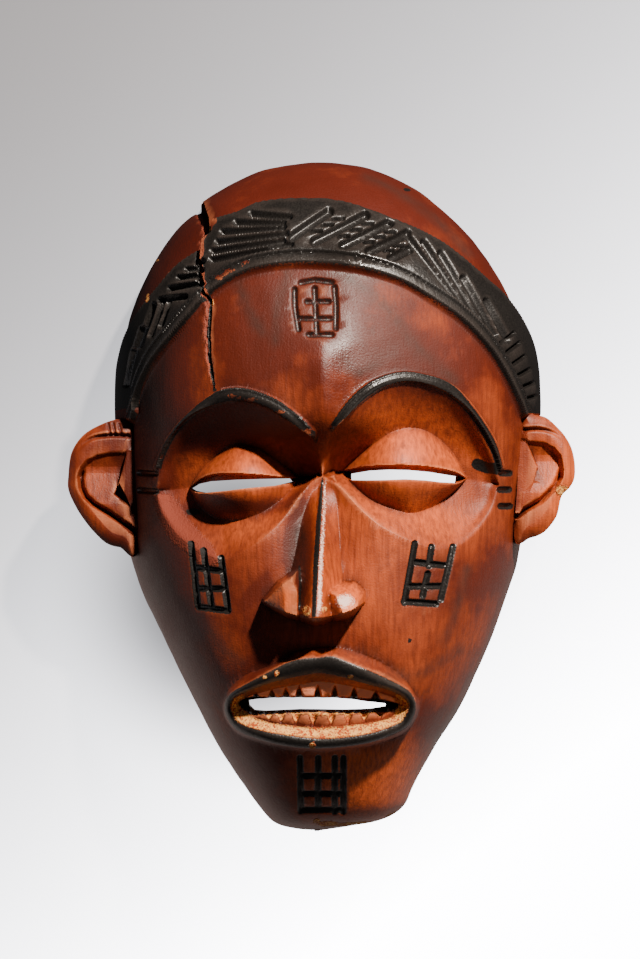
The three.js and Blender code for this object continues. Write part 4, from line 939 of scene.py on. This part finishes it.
streaks = add_node(wood, "Math", {0: splinter, 1: 0.8, 2: fine}, operation="MULTIPLY_ADD")
streaks = add_node(wood, "MapRange", {0: streaks, 1: 0.8, 2: 1.04})
soot, pale, aged = (
    add_node(wood, "Mix", {0: share, 6: linear(one), 7: linear(other)}, 2, data_type="RGBA")
    for share, one, other in ((fine, "070606", "221F1D"), (streaks, "DDA052", "93380F"), (grain, "8A6440", "4A3020")))
soot = add_node(wood, "Mix", {0: dusty, 6: soot, 7: linear("6A5D56")}, 2, data_type="RGBA")

# Each coat covers the ones before it: earth from thick to thin, which also carries painted light and shade, its
# fibres and dark blotches, bright edges and grimy lows, the cap, stains, scuff and torn edge, then soot, a painted
# highlight beside the nose's strip and on a nose wing, painted light on the upper teeth, and bare wood.
colour = linear("260D06")
for share, coat in ((thick, linear("541805")), (thin, linear("CA5A26")), (fibres, linear("441305")),
                    (dark, linear("380F04")), (edges, linear("D07A50")), (deep, linear("2A0D06")),
                    (capped, linear("481004")), (sooty, linear("33201A")), (is_scuffed, linear("6E2C1A")),
                    (is_torn, linear("8E402A")), (is_black, soot), (painted_highlight_share, linear("E0C2B4")),
                    (painted_light_on_teeth, linear("F0946E")), (is_bare, pale), (region["hidden"], aged)):
    colour = add_node(wood, "Mix", {0: share, 6: colour, 7: coat}, 2, data_type="RGBA")

# Roughness: about 0.5 to 0.6 for oiled earth, less where it is polished or black, and
# 0.85 for bare wood. The relief is the grit's, the fibres' and the scraper's.
dull = is_bare
for share in (is_scuffed, region["hidden"], is_torn):
    dull = add_node(wood, "Math", {0: dull, 1: share}, operation="MAXIMUM")
rough = add_node(wood, "MapRange", {0: mottle, 1: 0.3, 2: 0.7, 3: 0.4, 4: 0.5})
for share, amount in ((region["polished"], -0.2), (is_black, -0.16), (fine, 0.16)):
    rough = add_node(wood, "Math", {0: share, 1: amount, 2: rough}, operation="MULTIPLY_ADD")
rough = add_node(wood, "Mix", {0: dull, 2: rough, 3: 0.85}, data_type="FLOAT")
height = fine
for share, amount in ((grain, 0.6), (scraped, 0.7)):
    height = add_node(wood, "Math", {0: share, 1: amount, 2: height}, operation="MULTIPLY_ADD")
smooth = add_node(wood, "Math", {0: region["polished"], 1: is_black}, operation="MULTIPLY")
coarse = add_node(wood, "Math", {0: dull, 1: 2.5, 2: 1.0}, operation="MULTIPLY_ADD")
coarse = add_node(wood, "Math", {0: smooth, 1: -0.7, 2: coarse}, operation="MULTIPLY_ADD")
height = add_node(wood, "Math", {0: height, 1: coarse}, operation="MULTIPLY")
bump = add_node(wood, "Bump", {"Height": height, "Distance": 0.00011, "Strength": 1.0})
# The index is that of a matt, half-absorbed oil, a little under oil's own 1.47.
surface = add_node(wood, "BsdfPrincipled", {"Base Color": colour, "Roughness": rough, "Normal": bump, "IOR": 1.37})
add_node(wood, "OutputMaterial", {"Surface": surface})
body.materials.clear()
body.materials.append(wood)

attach(head, "root")
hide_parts("mask")

# The room: a plain pale floor whose top glows with painted light, brighter towards the lower right, and a key light
# from the upper right.
floor_mesh = bpy.data.meshes.new("floor")
floor_mesh.from_pydata([(-3, -3, 0), (3, -3, 0), (3, 3, 0), (-3, 3, 0)], [], [(0, 1, 2, 3)])
floor = in_scene("floor", floor_mesh)
paper = bpy.data.materials.new("pale_paper_floor")
paper.use_nodes = True
paper.node_tree.nodes.clear()
# The glow is painted light, e to a power that rises towards the lower right, and a painted shadow dims it under the
# mask.
spot = add_node(paper, "TexCoord", pick="Object")
slant = add_node(paper, "VectorMath", {0: spot, 1: (0.8, -1.0, 0.0)}, "Value", operation="DOT_PRODUCT")
power = add_node(paper, "MapRange", {0: slant, 1: -0.3, 2: 0.19, 3: -1.6, 4: 2.8})
glow = add_node(paper, "Math", {0: power}, operation="EXPONENT")
away = add_node(paper, "VectorMath", {0: spot, 1: (-0.03, -0.04, 0.0)}, "Value", operation="DISTANCE")
shade = add_node(paper, "MapRange", {0: away, 1: 0.03, 2: 0.085, 3: 0.15, 4: 1.0}, interpolation_type="SMOOTHSTEP")
glow = add_node(paper, "Math", {0: glow, 1: shade}, operation="MULTIPLY")
sheet = add_node(paper, "BsdfPrincipled", {"Base Color": linear("66666A"), "Roughness": 0.9,
                                           "Emission Color": linear("F2F2F8"), "Emission Strength": glow})
add_node(paper, "OutputMaterial", {"Surface": sheet})
floor_mesh.materials.append(paper)
floor.visible_diffuse = floor.visible_glossy = floor.visible_shadow = False


def area_light(name, at, towards, size, power, colour):
    """A square or oblong area light at a point in metres, turned to face another point."""
    data = bpy.data.lights.new(name, "AREA")
    data.shape, data.size, data.size_y, data.energy, data.color = "RECTANGLE", *size, power, linear(colour)[:3]
    lamp = in_scene(name, data)
    lamp.location = at
    lamp.rotation_mode = "QUATERNION"
    lamp.rotation_quaternion = (Vector(towards) - Vector(at)).to_track_quat("-Z", "Y")
    return lamp


area_light("key", (0.704, 1.324, 1.45), (0, 0, 0.05), (0.1, 0.1), 150, "FFF3E6")
area_light("left_card", (-1.0, -0.2, 0.1), (0, -0.1, 0.06), (1.0, 0.2), 0.9, "F2F4FF")
area_light("right_card", (1.2, -0.5, 1.0), (0, -0.05, 0.06), (0.8, 0.8), 2.2, "FFF6EE")
sheen = area_light("paper_sheen", (0, -0.82, -0.02), (0, -0.82, 1), (3.0, 1.6), 12, "FFEAE0")
sheen.visible_diffuse = False
world = bpy.data.worlds.new("studio")
world.use_nodes = True
background = world.node_tree.nodes["Background"]
background.inputs["Color"].default_value = linear("E6E6EA")
background.inputs["Strength"].default_value = 0.05
bpy.context.scene.world = world

# The camera looks straight down on the lying mask from two metres above the floor.
camera = in_scene("camera", bpy.data.cameras.new("camera"))
camera.data.lens, camera.data.sensor_width = 187.7, 36.0
camera.data.clip_start, camera.data.clip_end = 0.1, 20.0
camera.location = (-CENTRE[0] / 1000, -CENTRE[1] / 1000, 2.0)
bpy.context.scene.camera = camera
